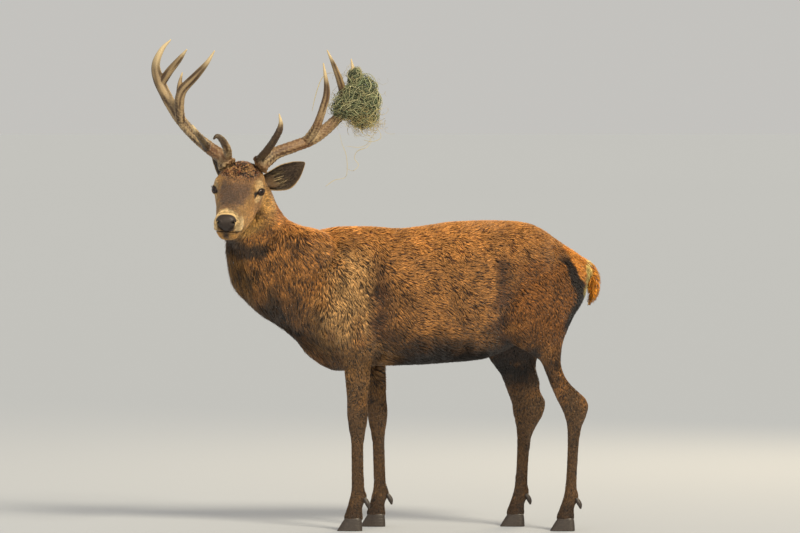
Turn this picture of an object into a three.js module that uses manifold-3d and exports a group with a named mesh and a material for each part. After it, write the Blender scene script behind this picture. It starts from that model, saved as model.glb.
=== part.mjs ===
// Red deer stag (Cervus elaphus), life size, standing still with its head turned to its left.
// Millimetres. +Z is up, -X is the way the trunk faces, -Y is the animal's left side. The outer
// surface is the tips of the coat. The body is modelled whole from lofts and parted by thin cuts.
import * as THREE from 'three';
import Module from 'manifold-3d';
import { mergeVertices } from 'three/addons/utils/BufferGeometryUtils.js';

// ---------------------------------------------------------------- driving dimensions
const GAP = 0.4;                 // clearance left between neighbouring pieces
const BODY_SIDES = 18;           // facets round the trunk, neck and head
const [TRUNK_RINGS, NECK_RINGS, HEAD_RINGS] = [21, 13, 18];
const NECK_POWER = 2.1;          // superellipse power of the neck's sections, and of the legs'
const LEG_POWER = 2.2;
const LEG_SIDES = 11;
const LEG_LONGEST_STEP = 100;    // the most that two sections of a leg stand apart
const HOOF_HEIGHT = 42;
const CLAW_HALF_WIDTH = 13.2;
const CLAW_FROM_MIDDLE = 13.6;   // from the middle of a foot to the middle of each claw
const EYE_RADIUS = 17.5;
const EYE_HALF_SPACING = 81;     // from the head's centre plane to an eyeball's centre
const EYE_LINE = new THREE.Vector3(-713, -230, 1226);   // midpoint between the eyes
const HEAD_YAW = 10.5;             // degrees that the face is turned from square to the side
const HEAD_PITCH = 25;           // degrees that the face points down
const HEAD_ROLL = 3;             // degrees that the crown leans to the animal's left
const BROW = [-10, 64, 24];           // middle of the ridge over an eye, in the head's own frame
const BROW_RADII = [44, 26, 19];
const NOSE = [230, 0, -16];          // middle of the bare nose pad, in the head's own frame
const NOSE_RADII = [24, 38, 32];
const EAR_BASE = [-95, 62, -18];
const LEFT_EAR_TIP = new THREE.Vector3(-479, -130, 1321);
const RIGHT_EAR_TIP = new THREE.Vector3(-821, 10, 1368);
const EAR_LENGTH = 176;
const EAR_HALF_WIDTH = 47;
const EAR_THICKNESS = 5;
const EAR_DROOP = 16;                // how far the middle of an ear bows towards its lower edge

// Side view of the trunk: height of the back and of the belly, and half the width, along X.
const BACK = [[-560, 960], [-504, 1046], [-432, 1081], [-342, 1094], [-252, 1094], [-144, 1086],
  [-36, 1098], [54, 1110], [162, 1114], [252, 1113], [324, 1104], [378, 1080], [432, 1042], [486, 1007],
  [520, 982], [540, 950]];
const BELLY = [[-560, 800], [-525, 690], [-470, 620], [-421, 584], [-367, 567], [-306, 569], [-216, 583],
  [-101, 587], [72, 598], [162, 608], [234, 637], [324, 688], [414, 745], [486, 796], [540, 890]];
const TRUNK_HALF_WIDTH = [[-560, 40], [-520, 88], [-440, 136], [-340, 160], [-220, 174], [-80, 187],
  [60, 192], [180, 184], [300, 172], [400, 154], [470, 122], [520, 78], [540, 38]];
const TRUNK_WIDEST = [[-560, 0.5], [-300, 0.47], [60, 0.46], [300, 0.58], [540, 0.5]];   // share of depth
const TRUNK_UPPER_POWER = [[-560, 2], [-340, 1.75], [-100, 2.05], [300, 2.15], [540, 2]];
const TRUNK_LOWER_POWER = [[-560, 2], [-340, 1.85], [60, 2.15], [540, 2]];

// The neck by height: throat and nape along X, its centre along Y, and half its width.
const THROAT = [[640, -470], [688, -530], [731, -584], [752, -622], [778, -657], [824, -706], [860, -742],
  [914, -759], [986, -769], [1040, -771], [1100, -764], [1160, -750], [1230, -735], [1290, -716]];
const NAPE = [[640, -400], [720, -340], [900, -330], [1000, -345], [1060, -385], [1083, -428], [1098, -490],
  [1123, -539], [1159, -568], [1184, -581], [1230, -600], [1290, -640]];
const NECK_CENTRE = [[640, 0], [752, -5], [824, -15], [914, -30], [986, -48], [1040, -65], [1098, -88],
  [1160, -112], [1230, -130], [1290, -140]];
const NECK_HALF_WIDTH = [[640, 60], [688, 92], [752, 116], [824, 130], [914, 134], [986, 130], [1040, 121],
  [1098, 108], [1160, 92], [1230, 74], [1290, 50]];

// The head along its own length, from the line between the eyes towards the nose.
const HEAD_TOP = [[-150, 22], [-125, 52], [-90, 70], [-50, 71], [-15, 64], [30, 49], [80, 38], [130, 31],
  [180, 25], [215, 18], [238, 4], [249, -14]];
const HEAD_UNDER = [[-150, -92], [-120, -124], [-80, -142], [-40, -144], [0, -140], [40, -134], [80, -128],
  [120, -120], [160, -108], [192, -99], [216, -92], [236, -76], [249, -48]];
const HEAD_HALF_WIDTH = [[-150, 48], [-120, 70], [-80, 84], [-40, 87], [0, 84], [30, 78], [60, 71],
  [100, 63], [140, 56], [180, 50], [210, 49], [232, 44], [249, 24]];
const HEAD_WIDEST = [[-150, -20], [-80, -14], [0, -4], [50, -20], [100, -30], [180, -38], [249, -30]];
const HEAD_UPPER_POWER = [[-150, 2], [-60, 2.5], [60, 2.4], [249, 2.2]];
const HEAD_LOWER_POWER = [[-150, 2], [-60, 2.1], [20, 2.2], [80, 2.5], [130, 2.5], [200, 2.3], [249, 2]];

// Legs by height: front and back edge along X, outer and inner face from the centre plane.
const FORELEG = {
  front: [[43, -340], [79, -329], [122, -318], [158, -312], [300, -313], [340, -317], [374, -323],
    [421, -328], [464, -328], [518, -333], [590, -341], [650, -362], [720, -420], [800, -452], [900, -430],
    [985, -372]],
  back: [[43, -268], [79, -272], [122, -254], [158, -264], [300, -266], [340, -262], [374, -256], [421, -250],
    [464, -252], [518, -246], [590, -238], [650, -222], [720, -208], [800, -214], [900, -244], [985, -300]],
  outer: [[43, 138], [79, 134], [122, 132], [158, 127], [300, 127], [374, 132], [421, 135], [464, 133],
    [590, 142], [650, 154], [720, 168], [800, 173], [900, 163], [985, 112]],
  inner: [[43, 84], [79, 88], [122, 90], [158, 93], [300, 93], [421, 82], [464, 84], [590, 72], [720, 60],
    [985, 60]],
};
const HINDLEG = {
  front: [[43, 422], [79, 434], [122, 448], [158, 455], [313, 463], [366, 462], [417, 450], [476, 421],
    [536, 396], [572, 382], [608, 366], [640, 320], [675, 256], [716, 218], [770, 198], [824, 194],
    [878, 205], [940, 232], [992, 296]],
  back: [[43, 490], [79, 488], [122, 506], [158, 498], [248, 501], [313, 506], [366, 514], [417, 534],
    [450, 541], [476, 530], [500, 504], [536, 468], [572, 448], [608, 441], [660, 446], [716, 464],
    [770, 488], [824, 519], [878, 535], [920, 537], [955, 514], [992, 440]],
  outer: [[43, 142], [79, 138], [122, 136], [158, 130], [313, 131], [400, 137], [464, 138], [572, 142],
    [662, 158], [716, 168], [824, 177], [878, 172], [940, 150], [992, 112]],
  inner: [[43, 88], [79, 92], [122, 94], [158, 96], [313, 95], [400, 90], [464, 92], [572, 78], [662, 40],
    [716, 22], [992, 22]],
};
// How far the right legs stand behind (+) or ahead (-) of the left ones, by height.
const RIGHT_FORELEG_SHIFT = {
  front: [[0, 82], [420, 70], [600, 52], [760, 0], [985, 0]],
  back: [[0, 82], [420, 70], [600, 52], [760, 0], [985, 0]],
};
const RIGHT_HINDLEG_SHIFT = {
  front: [[0, -176], [313, -178], [400, -183], [464, -168], [536, -164], [608, -182], [675, -76], [770, 0]],
  back: [[0, -176], [313, -168], [400, -148], [476, -150], [536, -100], [608, -80], [675, -40], [770, 0]],
};
const NO_SHIFT = { front: [[0, 0], [1, 0]], back: [[0, 0], [1, 0]] };

// Each pair of feet: toe, heel and back of the fetlock along X, and the middle from the centre plane.
const FEET = [
  { which: 'fore', toe: -362, heel: -272, middle: 111, fetlock: -256, shifts: RIGHT_FORELEG_SHIFT },
  { which: 'hind', toe: 402, heel: 490, middle: 115, fetlock: 504, shifts: RIGHT_HINDLEG_SHIFT },
];
// A dewclaw behind the fetlock, by [distance behind it, height, radius].
const DEWCLAW = [[-10, 118, 6], [-2, 106, 8.5], [4, 94, 8], [7, 80, 3]];

// The tail by [x, y, z, radius], and how much broader than deep it is.
const TAIL = [[490, 0, 966, 20], [532, 0, 950, 24], [558, 0, 914, 24], [564, 0, 868, 22], [552, 0, 826, 14],
  [536, 0, 802, 5]];
const TAIL_BROADER = 1.45;

// Antlers: points along each beam and tine with the radius there, as [x, y, z, radius].
const RIGHT_ANTLER = {
  beam: [[-757, -196, 1318, 27], [-775, -190, 1345, 25], [-816, -176, 1374, 23], [-876, -150, 1423, 21],
    [-926, -120, 1480, 20], [-968, -98, 1548, 21], [-1002, -88, 1618, 21], [-1012, -92, 1672, 16],
    [-990, -102, 1726, 10], [-956, -112, 1763, 3]],
  brow: [[-752, -205, 1340, 15], [-752, -262, 1368, 15], [-766, -312, 1402, 12.5], [-786, -334, 1420, 9],
    [-800, -334, 1408, 4]],
  bez: [[-826, -188, 1378, 14], [-842, -232, 1402, 12], [-862, -272, 1434, 8.5], [-876, -292, 1460, 3]],
  trez: [[-922, -140, 1470, 17], [-926, -166, 1530, 18], [-914, -184, 1580, 18], [-866, -206, 1632, 15],
    [-826, -224, 1678, 9.5], [-796, -240, 1724, 3]],
  spike: [[-929, -172, 1562, 10], [-924, -182, 1602, 9], [-914, -190, 1646, 3]],
  surroyal: [[-990, -92, 1610, 17], [-962, -104, 1650, 15], [-926, -126, 1692, 11], [-898, -150, 1728, 3]],
};
const LEFT_ANTLER = {
  beam: [[-634, -196, 1318, 27], [-610, -186, 1334, 25], [-577, -168, 1358, 23], [-516, -144, 1380, 22],
    [-450, -116, 1406, 21], [-390, -96, 1452, 20], [-340, -86, 1508, 19], [-316, -88, 1568, 16],
    [-304, -98, 1630, 11], [-312, -114, 1694, 3]],
  brow: [[-640, -206, 1336, 14], [-606, -268, 1374, 14], [-572, -318, 1426, 12.5], [-560, -334, 1462, 9],
    [-566, -344, 1500, 3]],
  trez: [[-474, -134, 1398, 17], [-440, -164, 1444, 16], [-414, -190, 1510, 14.5], [-398, -212, 1580, 12],
    [-410, -236, 1680, 3]],
  surroyal: [[-334, -92, 1516, 16], [-344, -112, 1584, 14.5], [-366, -142, 1652, 11], [-398, -176, 1726, 3]],
};
const BURR_RADIUS = 34;
const BURR_FLATNESS = 0.42;      // thickness of a burr over its diameter
const [BEAM_SIDES, BEAM_RINGS] = [8, 13];
const [TINE_SIDES, TINE_RINGS] = [6, 7];
// The clump of grass caught on the left crown.
const TANGLE_CENTRE = new THREE.Vector3(-297, -95, 1546);
const TANGLE_RADII = new THREE.Vector3(84, 70, 94);

// ---------------------------------------------------------------- curves and lofts
const wasm = await Module();
wasm.setup();

// A smooth function through [t, value] pairs that never overshoots them.
function through(pairs) {
  const t = pairs.map((p) => p[0]);
  const v = pairs.map((p) => p[1]);
  const slope = v.slice(1).map((next, i) => (next - v[i]) / (t[i + 1] - t[i]));
  const tangent = v.map((_, i) => {
    if (i === 0) return slope[0];
    if (i === v.length - 1) return slope[i - 1];
    const [a, b] = [slope[i - 1], slope[i]];
    return a * b <= 0 ? 0 : (2 * a * b) / (a + b);
  });
  return (x) => {
    let i = 0;
    while (i < t.length - 2 && x > t[i + 1]) i += 1;
    const step = t[i + 1] - t[i];
    const s = THREE.MathUtils.clamp((x - t[i]) / step, 0, 1);
    return v[i] * (2 * s ** 3 - 3 * s ** 2 + 1) + v[i + 1] * (3 * s ** 2 - 2 * s ** 3)
      + step * (tangent[i] * (s ** 3 - 2 * s ** 2 + s) + tangent[i + 1] * (s ** 3 - s ** 2));
  };
}

// One closed outline: a superellipse whose upper and lower halves have their own height and power.
function outline(half, up, down, upPower, downPower, sides) {
  return Array.from({ length: sides }, (_, i) => {
    const angle = (2 * Math.PI * i) / sides;
    const [c, s] = [Math.cos(angle), Math.sin(angle)];
    const power = 2 / (s > 0 ? upPower : downPower);
    const height = s > 0 ? up : down;
    return [half * Math.sign(c) * Math.abs(c) ** power, height * Math.sign(s) * Math.abs(s) ** power];
  });
}

// A closed solid through rings of equally many points, with a fan over each end.
function loft(rings) {
  const sides = rings[0].length;
  const centre = (ring) => ring.reduce((sum, p) => sum.add(p), new THREE.Vector3()).divideScalar(sides);
  const points = [...rings.flat(), centre(rings[0]), centre(rings.at(-1))];
  const index = [];
  const last = (rings.length - 1) * sides;
  for (let i = 0; i < sides; i += 1) {
    const j = (i + 1) % sides;
    for (let row = 0; row < last; row += sides) {
      index.push(row + i, row + j, row + sides + j, row + i, row + sides + j, row + sides + i);
    }
    index.push(points.length - 2, j, i, points.length - 1, last + i, last + j);
  }
  const geometry = new THREE.BufferGeometry().setFromPoints(points);
  geometry.setIndex(index);
  return solid(geometry);
}

// A manifold-3d solid from a closed three.js geometry, whichever way its faces point.
function solid(geometry) {
  const bare = geometry.clone();
  ['normal', 'uv'].forEach((name) => bare.deleteAttribute(name));
  const merged = mergeVertices(bare, 1e-3);
  const triVerts = new Uint32Array(merged.index.array);
  const vertProperties = new Float32Array(merged.attributes.position.array);
  const made = new wasm.Manifold(new wasm.Mesh({ numProp: 3, vertProperties, triVerts }));
  if (made.volume() > 0) return made;
  for (let i = 0; i < triVerts.length; i += 3) {
    [triVerts[i + 1], triVerts[i + 2]] = [triVerts[i + 2], triVerts[i + 1]];
  }
  return new wasm.Manifold(new wasm.Mesh({ numProp: 3, vertProperties, triVerts }));
}

// Evenly spaced values from a to b.
const steps = (a, b, count) => Array.from({ length: count + 1 }, (_, i) => a + ((b - a) * i) / count);
const largest = (made) => made.decompose().reduce((a, b) => (a.volume() > b.volume() ? a : b));
const join = (solids) => solids.reduce((a, b) => a.add(b));
const cut = (made, ...tools) => tools.reduce((a, b) => a.subtract(b), made);

// ---------------------------------------------------------------- trunk and neck
function trunkSolid() {
  const [back, belly, half] = [BACK, BELLY, TRUNK_HALF_WIDTH].map(through);
  const [widest, upper, lower] = [TRUNK_WIDEST, TRUNK_UPPER_POWER, TRUNK_LOWER_POWER].map(through);
  const ends = [BACK[0][0], BACK.at(-1)[0]];
  const rings = steps(...ends, TRUNK_RINGS).map((x) => {
    const level = belly(x) + widest(x) * (back(x) - belly(x));
    return outline(half(x), back(x) - level, level - belly(x), upper(x), lower(x), BODY_SIDES)
      .map(([y, z]) => new THREE.Vector3(x, y, level + z));
  });
  return loft(rings);
}

function neckSolid() {
  const [throat, nape, middle, half] = [THROAT, NAPE, NECK_CENTRE, NECK_HALF_WIDTH].map(through);
  const rings = steps(THROAT[0][0], THROAT.at(-1)[0], NECK_RINGS).map((z) => {
    const centre = (throat(z) + nape(z)) / 2;
    const reach = (nape(z) - throat(z)) / 2;
    return outline(reach, half(z), half(z), NECK_POWER, NECK_POWER, BODY_SIDES)
      .map(([x, y]) => new THREE.Vector3(centre + x, middle(z) + y, z));
  });
  return loft(rings);
}

// ---------------------------------------------------------------- head
const degrees = THREE.MathUtils.degToRad;
// Axes of the head: forward to the nose, to the animal's left, and up through the crown.
const headAxes = (() => {
  const level = new THREE.Vector3(-Math.sin(degrees(HEAD_YAW)), -Math.cos(degrees(HEAD_YAW)), 0);
  const vertical = new THREE.Vector3(0, 0, 1);
  const [c, s] = [Math.cos(degrees(HEAD_PITCH)), Math.sin(degrees(HEAD_PITCH))];
  const forward = level.clone().multiplyScalar(c).addScaledVector(vertical, -s);
  const upright = level.clone().multiplyScalar(s).addScaledVector(vertical, c);
  const sideways = upright.clone().cross(forward);
  const roll = degrees(HEAD_ROLL);
  const up = upright.clone().multiplyScalar(Math.cos(roll)).addScaledVector(sideways, Math.sin(roll));
  return { forward, up, left: up.clone().cross(forward) };
})();

// A point of the head's own frame: s towards the nose, l to the left, u up.
const onHead = (s, l, u) => EYE_LINE.clone().addScaledVector(headAxes.forward, s)
  .addScaledVector(headAxes.left, l).addScaledVector(headAxes.up, u);

// An ellipsoid in the head's frame.
function headEllipsoid([s, l, u], [rs, rl, ru], across, down) {
  const geometry = new THREE.SphereGeometry(1, across, down);
  const place = new THREE.Matrix4().makeBasis(
    headAxes.forward.clone().multiplyScalar(rs),
    headAxes.left.clone().multiplyScalar(rl),
    headAxes.up.clone().multiplyScalar(ru),
  ).setPosition(onHead(s, l, u));
  return solid(geometry.applyMatrix4(place));
}

// The skull with its flesh and coat, or the same a little larger all round.
function skullSolid(extra = 0) {
  const [top, under, half] = [HEAD_TOP, HEAD_UNDER, HEAD_HALF_WIDTH].map(through);
  const [widest, upper, lower] = [HEAD_WIDEST, HEAD_UPPER_POWER, HEAD_LOWER_POWER].map(through);
  const rings = steps(HEAD_TOP[0][0] - extra, HEAD_TOP.at(-1)[0] + extra, HEAD_RINGS).map((s) => {
    const level = widest(s);
    const [up, down] = [top(s) - level + extra, level - under(s) + extra];
    return outline(half(s) + extra, up, down, upper(s), lower(s), BODY_SIDES)
      .map(([l, u]) => onHead(s, l, level + u));
  });
  const size = BROW_RADII.map((r) => r + extra);
  const brows = [-1, 1].map((side) => headEllipsoid([BROW[0], side * BROW[1], BROW[2]], size, 10, 6));
  return join([loft(rings), ...brows]);
}

const eyeSolid = (side, extra = 0) => {
  const radius = EYE_RADIUS + extra;
  return headEllipsoid([2, side * EYE_HALF_SPACING, 0], [radius, radius, radius], 10, 7);
};
const noseSolid = (extra = 0) => headEllipsoid(NOSE, NOSE_RADII.map((r) => r + extra), 12, 6);

// A cupped ear: crescent sections along a line from its base to its tip.
function earSolid(base, tip, opening) {
  const along = tip.clone().sub(base).normalize();
  const cup = opening.clone().addScaledVector(along, -opening.dot(along)).normalize();
  const across = along.clone().cross(cup);
  const spread = through([[0, 0.5], [0.25, 0.82], [0.5, 1], [0.75, 0.74], [0.92, 0.34], [1, 0.08]]);
  const depth = through([[0, 24], [0.3, 27], [0.6, 20], [1, 3]]);
  const arc = steps(-1, 1, 4);
  const rings = steps(0, 1, 7).map((t) => {
    const side = (a, inset) => base.clone().addScaledVector(along, t * EAR_LENGTH)
      .addScaledVector(across, (EAR_HALF_WIDTH * spread(t) - inset) * Math.sin((a * Math.PI) / 2)
        + EAR_DROOP * Math.sin(Math.PI * t))
      .addScaledVector(cup, -(depth(t) - inset) * Math.cos((a * Math.PI) / 2));
    const outer = arc.map((a) => side(a, 0));
    const inner = arc.map((a) => side(a * 0.96, Math.min(EAR_THICKNESS, depth(t) * 0.7)));
    return [...outer, ...inner.reverse()];
  });
  return loft(rings);
}

// ---------------------------------------------------------------- legs and feet
function legSolid(shape, side, shift) {
  const edges = ['front', 'back', 'outer', 'inner'];
  const [frontEdge, backEdge, outer, inner] = edges.map((edge) => through(shape[edge]));
  const [frontShift, backShift] = [shift.front, shift.back].map(through);
  const front = (z) => frontEdge(z) + frontShift(z);
  const back = (z) => backEdge(z) + backShift(z);
  const joints = shape.front.map((p) => p[0]);
  const heights = joints.flatMap((z, i) => {
    const next = joints[i + 1];
    return next - z > LEG_LONGEST_STEP ? [z, (z + next) / 2] : [z];
  });
  const rings = heights.map((z) => {
    const reach = (back(z) - front(z)) / 2;
    const width = (outer(z) - inner(z)) / 2;
    return outline(reach, width, width, LEG_POWER, LEG_POWER, LEG_SIDES).map(([x, y]) => new THREE.Vector3(
      (front(z) + back(z)) / 2 + x,
      side * ((outer(z) + inner(z)) / 2 + y),
      z,
    ));
  });
  return loft(rings);
}

// One claw of a cloven hoof: a flat sole, pointed at the toe, under a sloping wall.
function clawSolid(toe, heel, y) {
  const rings = [[0, 0, 0, 1], [5, 2, 0, 1], [HOOF_HEIGHT, 26, 3, 0.96]].map(
    ([z, toeBack, heelIn, share]) => {
      const [a, b] = [toe + toeBack, heel - heelIn];
      return steps(0, 2 * Math.PI, 8).slice(1).map((angle) => {
        const along = (1 - Math.cos(angle)) / 2;
        const width = CLAW_HALF_WIDTH * share * Math.sin(angle) * (0.73 + 0.39 * along);
        return new THREE.Vector3(a + (b - a) * along, y + width, z);
      });
    },
  );
  return loft(rings);
}

// ---------------------------------------------------------------- antlers
// A round branch that tapers along a smooth curve through [x, y, z, radius] points.
function branch(points, sides, rings) {
  const curve = new THREE.CatmullRomCurve3(points.map(([x, y, z]) => new THREE.Vector3(x, y, z)));
  const radius = through(points.map((p, i) => [i / (points.length - 1), p[3]]));
  const frames = curve.computeFrenetFrames(rings, false);
  const made = steps(0, 1, rings).map((t, i) => {
    const share = curve.getUtoTmapping(t);
    const centre = curve.getPoint(share);
    return outline(radius(share), radius(share), radius(share), 2, 2, sides).map(([a, b]) => centre.clone()
      .addScaledVector(frames.normals[i], a).addScaledVector(frames.binormals[i], b));
  });
  return loft(made);
}

// The knobbly ring at the foot of an antler.
function burrSolid([x, y, z], towards) {
  const geometry = new THREE.SphereGeometry(BURR_RADIUS, 10, 5);
  const axis = new THREE.Vector3(...towards).sub(new THREE.Vector3(x, y, z)).normalize();
  const turn = new THREE.Quaternion().setFromUnitVectors(new THREE.Vector3(0, 1, 0), axis);
  return solid(geometry.scale(1, BURR_FLATNESS, 1).applyQuaternion(turn).translate(x, y, z));
}

const grown = (points, extra) => points.map(([x, y, z, r]) => [x, y, z, r + extra]);

function antlerSolids(side, shape) {
  const beamAt = (extra) => join([
    branch(grown(shape.beam, extra), BEAM_SIDES, BEAM_RINGS),
    burrSolid(shape.beam[0].slice(0, 3), shape.beam[1].slice(0, 3)),
  ]);
  const made = { [`antler_${side}_beam`]: beamAt(0) };
  let taken = beamAt(GAP);
  Object.keys(shape).filter((name) => name !== 'beam').forEach((name) => {
    made[`antler_${side}_${name}`] = largest(branch(shape[name], TINE_SIDES, TINE_RINGS).subtract(taken));
    taken = taken.add(branch(grown(shape[name], GAP), TINE_SIDES, TINE_RINGS));
  });
  return { made, taken };
}

// A clump of grass wound round the crown, as one lumpy solid.
function tangleSolid() {
  const geometry = new THREE.IcosahedronGeometry(1, 3);
  const position = geometry.attributes.position;
  const p = new THREE.Vector3();
  for (let i = 0; i < position.count; i += 1) {
    p.fromBufferAttribute(position, i);
    const lump = 1 + 0.1 * Math.sin(5 * p.x + 1) * Math.cos(4 * p.z) + 0.06 * Math.sin(9 * p.y + 7 * p.z);
    p.multiplyScalar(lump).multiply(TANGLE_RADII).add(TANGLE_CENTRE);
    position.setXYZ(i, p.x, p.y, p.z);
  }
  return solid(geometry);
}

// ---------------------------------------------------------------- cutters
// A prism over an [x, z] outline that reaches from one distance to another on one side.
function prism(points, side, near, far, grow = 0) {
  const shape = new THREE.Shape(points.map(([x, z]) => new THREE.Vector2(x, z)));
  const geometry = new THREE.ExtrudeGeometry(shape, { depth: far - near + grow, bevelEnabled: false });
  geometry.rotateX(Math.PI / 2).translate(0, far, 0);
  const box = new THREE.Box3().setFromPoints(points.map(([x, z]) => new THREE.Vector3(x, 0, z)));
  const middle = box.getCenter(new THREE.Vector3());
  const size = box.getSize(new THREE.Vector3());
  geometry.translate(-middle.x, 0, -middle.z)
    .scale(1 + (4 * grow) / size.x, 1, 1 + (4 * grow) / size.z)
    .translate(middle.x, 0, middle.z);
  return solid(side < 0 ? geometry.scale(1, -1, 1) : geometry);
}

// Distance from the centre plane to a leg's cut into the trunk, and to a plane beyond every leg.
const FORE_CUT = 64;
const HIND_CUT = 24;
const BEYOND = 330;
const SHOULDER = [[-452, 560], [-470, 720], [-458, 830], [-412, 930], [-345, 990], [-290, 970], [-240, 880],
  [-206, 760], [-186, 600]];
const WITHERS = new THREE.Vector3(-462, 0, 1083);
const COLLAR_LEAN = 0.104;
const FORELEG_OUTLINE = {
  [-1]: [[-400, -20], ...SHOULDER, [-200, 400], [-200, -20]],
  1: [[-330, -20], [-330, 400], ...SHOULDER, [-120, 400], [-120, -20]],
};
const THIGH_TOP = [[205, 860], [262, 950], [350, 1006], [440, 1000], [520, 960], [620, 940], [620, -20]];
const HINDLEG_OUTLINE = {
  [-1]: [[380, -20], [370, 440], [310, 560], [214, 640], [178, 740], ...THIGH_TOP],
  1: [[200, -20], [200, 440], [160, 560], [112, 640], [118, 740], ...THIGH_TOP],
};

// ---------------------------------------------------------------- assembly
const FUR = new THREE.MeshStandardMaterial({ color: 0x7a4f2e, roughness: 0.9 });
const FACE = new THREE.MeshStandardMaterial({ color: 0x6f5641, roughness: 0.9 });
const ANTLER = new THREE.MeshStandardMaterial({ color: 0x8a6b4b, roughness: 0.6 });
const HORN = new THREE.MeshStandardMaterial({ color: 0x2c2420, roughness: 0.5 });
const GLOSS = new THREE.MeshStandardMaterial({ color: 0x140c08, roughness: 0.08 });
const WET = new THREE.MeshStandardMaterial({ color: 0x241f1e, roughness: 0.35 });
const GRASS = new THREE.MeshStandardMaterial({ color: 0x7d8a55, roughness: 0.9 });

const stag = new THREE.Group();
function place(name, made, material) {
  const mesh = made.getMesh();
  const geometry = new THREE.BufferGeometry()
    .setAttribute('position', new THREE.BufferAttribute(mesh.vertProperties, 3))
    .setIndex(new THREE.BufferAttribute(mesh.triVerts, 1));
  geometry.computeVertexNormals();
  const node = new THREE.Mesh(geometry, material);
  node.name = name;
  stag.add(node);
}

const SIDES = [['left', -1], ['right', 1]];
const skull = skullSolid();
const skullCutter = skullSolid(GAP);
const trunk = trunkSolid();

// Each ear: its base, its tip and the way that the cup opens.
const earPlaces = {
  left: [onHead(...EAR_BASE), LEFT_EAR_TIP, new THREE.Vector3(0.2, -1, -0.1)],
  right: [onHead(EAR_BASE[0], -EAR_BASE[1], EAR_BASE[2]), RIGHT_EAR_TIP, new THREE.Vector3(-1, -0.35, 0)],
};

const legs = SIDES.flatMap(([, side]) => [
  legSolid(FORELEG, side, side < 0 ? NO_SHIFT : RIGHT_FORELEG_SHIFT),
  legSolid(HINDLEG, side, side < 0 ? NO_SHIFT : RIGHT_HINDLEG_SHIFT),
]);
const whole = join([trunk, neckSolid(), ...legs]);

// Neck, from the trunk forward of a plane through the withers that leans a little.
const collar = new THREE.Vector3(-1, 0, COLLAR_LEAN).normalize();
const collarAt = collar.dot(WITHERS);
place('neck', largest(whole.trimByPlane(collar.toArray(), collarAt + GAP).subtract(skullCutter)), FUR);
let body = whole.trimByPlane(collar.clone().negate().toArray(), -collarAt);

// Legs, parted from the trunk by prisms.
SIDES.forEach(([name, side]) => {
  const cuts = [['fore', FORELEG_OUTLINE, FORE_CUT], ['hind', HINDLEG_OUTLINE, HIND_CUT]];
  cuts.forEach(([which, shapes, near]) => {
    place(`${which}leg_${name}`, largest(body.intersect(prism(shapes[side], side, near, BEYOND))), FUR);
    body = body.subtract(prism(shapes[side], side, near, BEYOND, GAP));
  });
});
place('trunk', largest(body), FUR);

// Tail, hanging against the rump.
const tailBranch = branch(TAIL, 9, 7).scale([1, TAIL_BROADER, 1]);
place('tail', largest(cut(tailBranch, whole.translate([GAP, 0, 0]), whole)), FUR);

const antlers = { right: antlerSolids('right', RIGHT_ANTLER), left: antlerSolids('left', LEFT_ANTLER) };

// Head with its eyes, nose and ears. The side of the left is -1, and l is positive to the left.
const eyes = SIDES.map(([, side]) => eyeSolid(-side, GAP));
place('head', largest(cut(skull, ...eyes, noseSolid(GAP))), FACE);
place('nose', noseSolid(), WET);
SIDES.forEach(([name, side]) => {
  place(`eye_${name}`, eyeSolid(-side), GLOSS);
  const [base, tip, opening] = earPlaces[name];
  const ear = cut(earSolid(base, tip, opening), skullCutter, whole, antlers[name].taken);
  place(`ear_${name}`, largest(ear), FACE);
});

// Antlers and the grass caught on the left one.
Object.values(antlers).forEach(({ made }) => {
  Object.entries(made).forEach(([name, piece]) => place(name, largest(piece.subtract(skullCutter)), ANTLER));
});
place('grass_tangle', largest(tangleSolid().subtract(antlers.left.taken)), GRASS);

// Hooves and dewclaws.
FEET.forEach(({ which, toe, heel, middle, fetlock, shifts }) => SIDES.forEach(([name, side]) => {
  const shift = side < 0 ? 0 : through(shifts.back)(0);
  [['inner', -CLAW_FROM_MIDDLE], ['outer', CLAW_FROM_MIDDLE]].forEach(([claw, across]) => {
    const y = side * (middle + across);
    place(`hoof_${which}_${name}_${claw}`, clawSolid(toe + shift, heel + shift, y), HORN);
    const line = DEWCLAW.map(([back, z, r]) => [fetlock + back + shift, y, z, r]);
    place(`dewclaw_${which}_${name}_${claw}`, largest(branch(line, 6, 2).subtract(whole)), HORN);
  });
}));

// The origin is under the middle of the whole animal, on the floor.
const bounds = new THREE.Box3().setFromObject(stag);
stag.position.set(-(bounds.min.x + bounds.max.x) / 2, -(bounds.min.y + bounds.max.y) / 2, -bounds.min.z);
export default stag;
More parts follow.
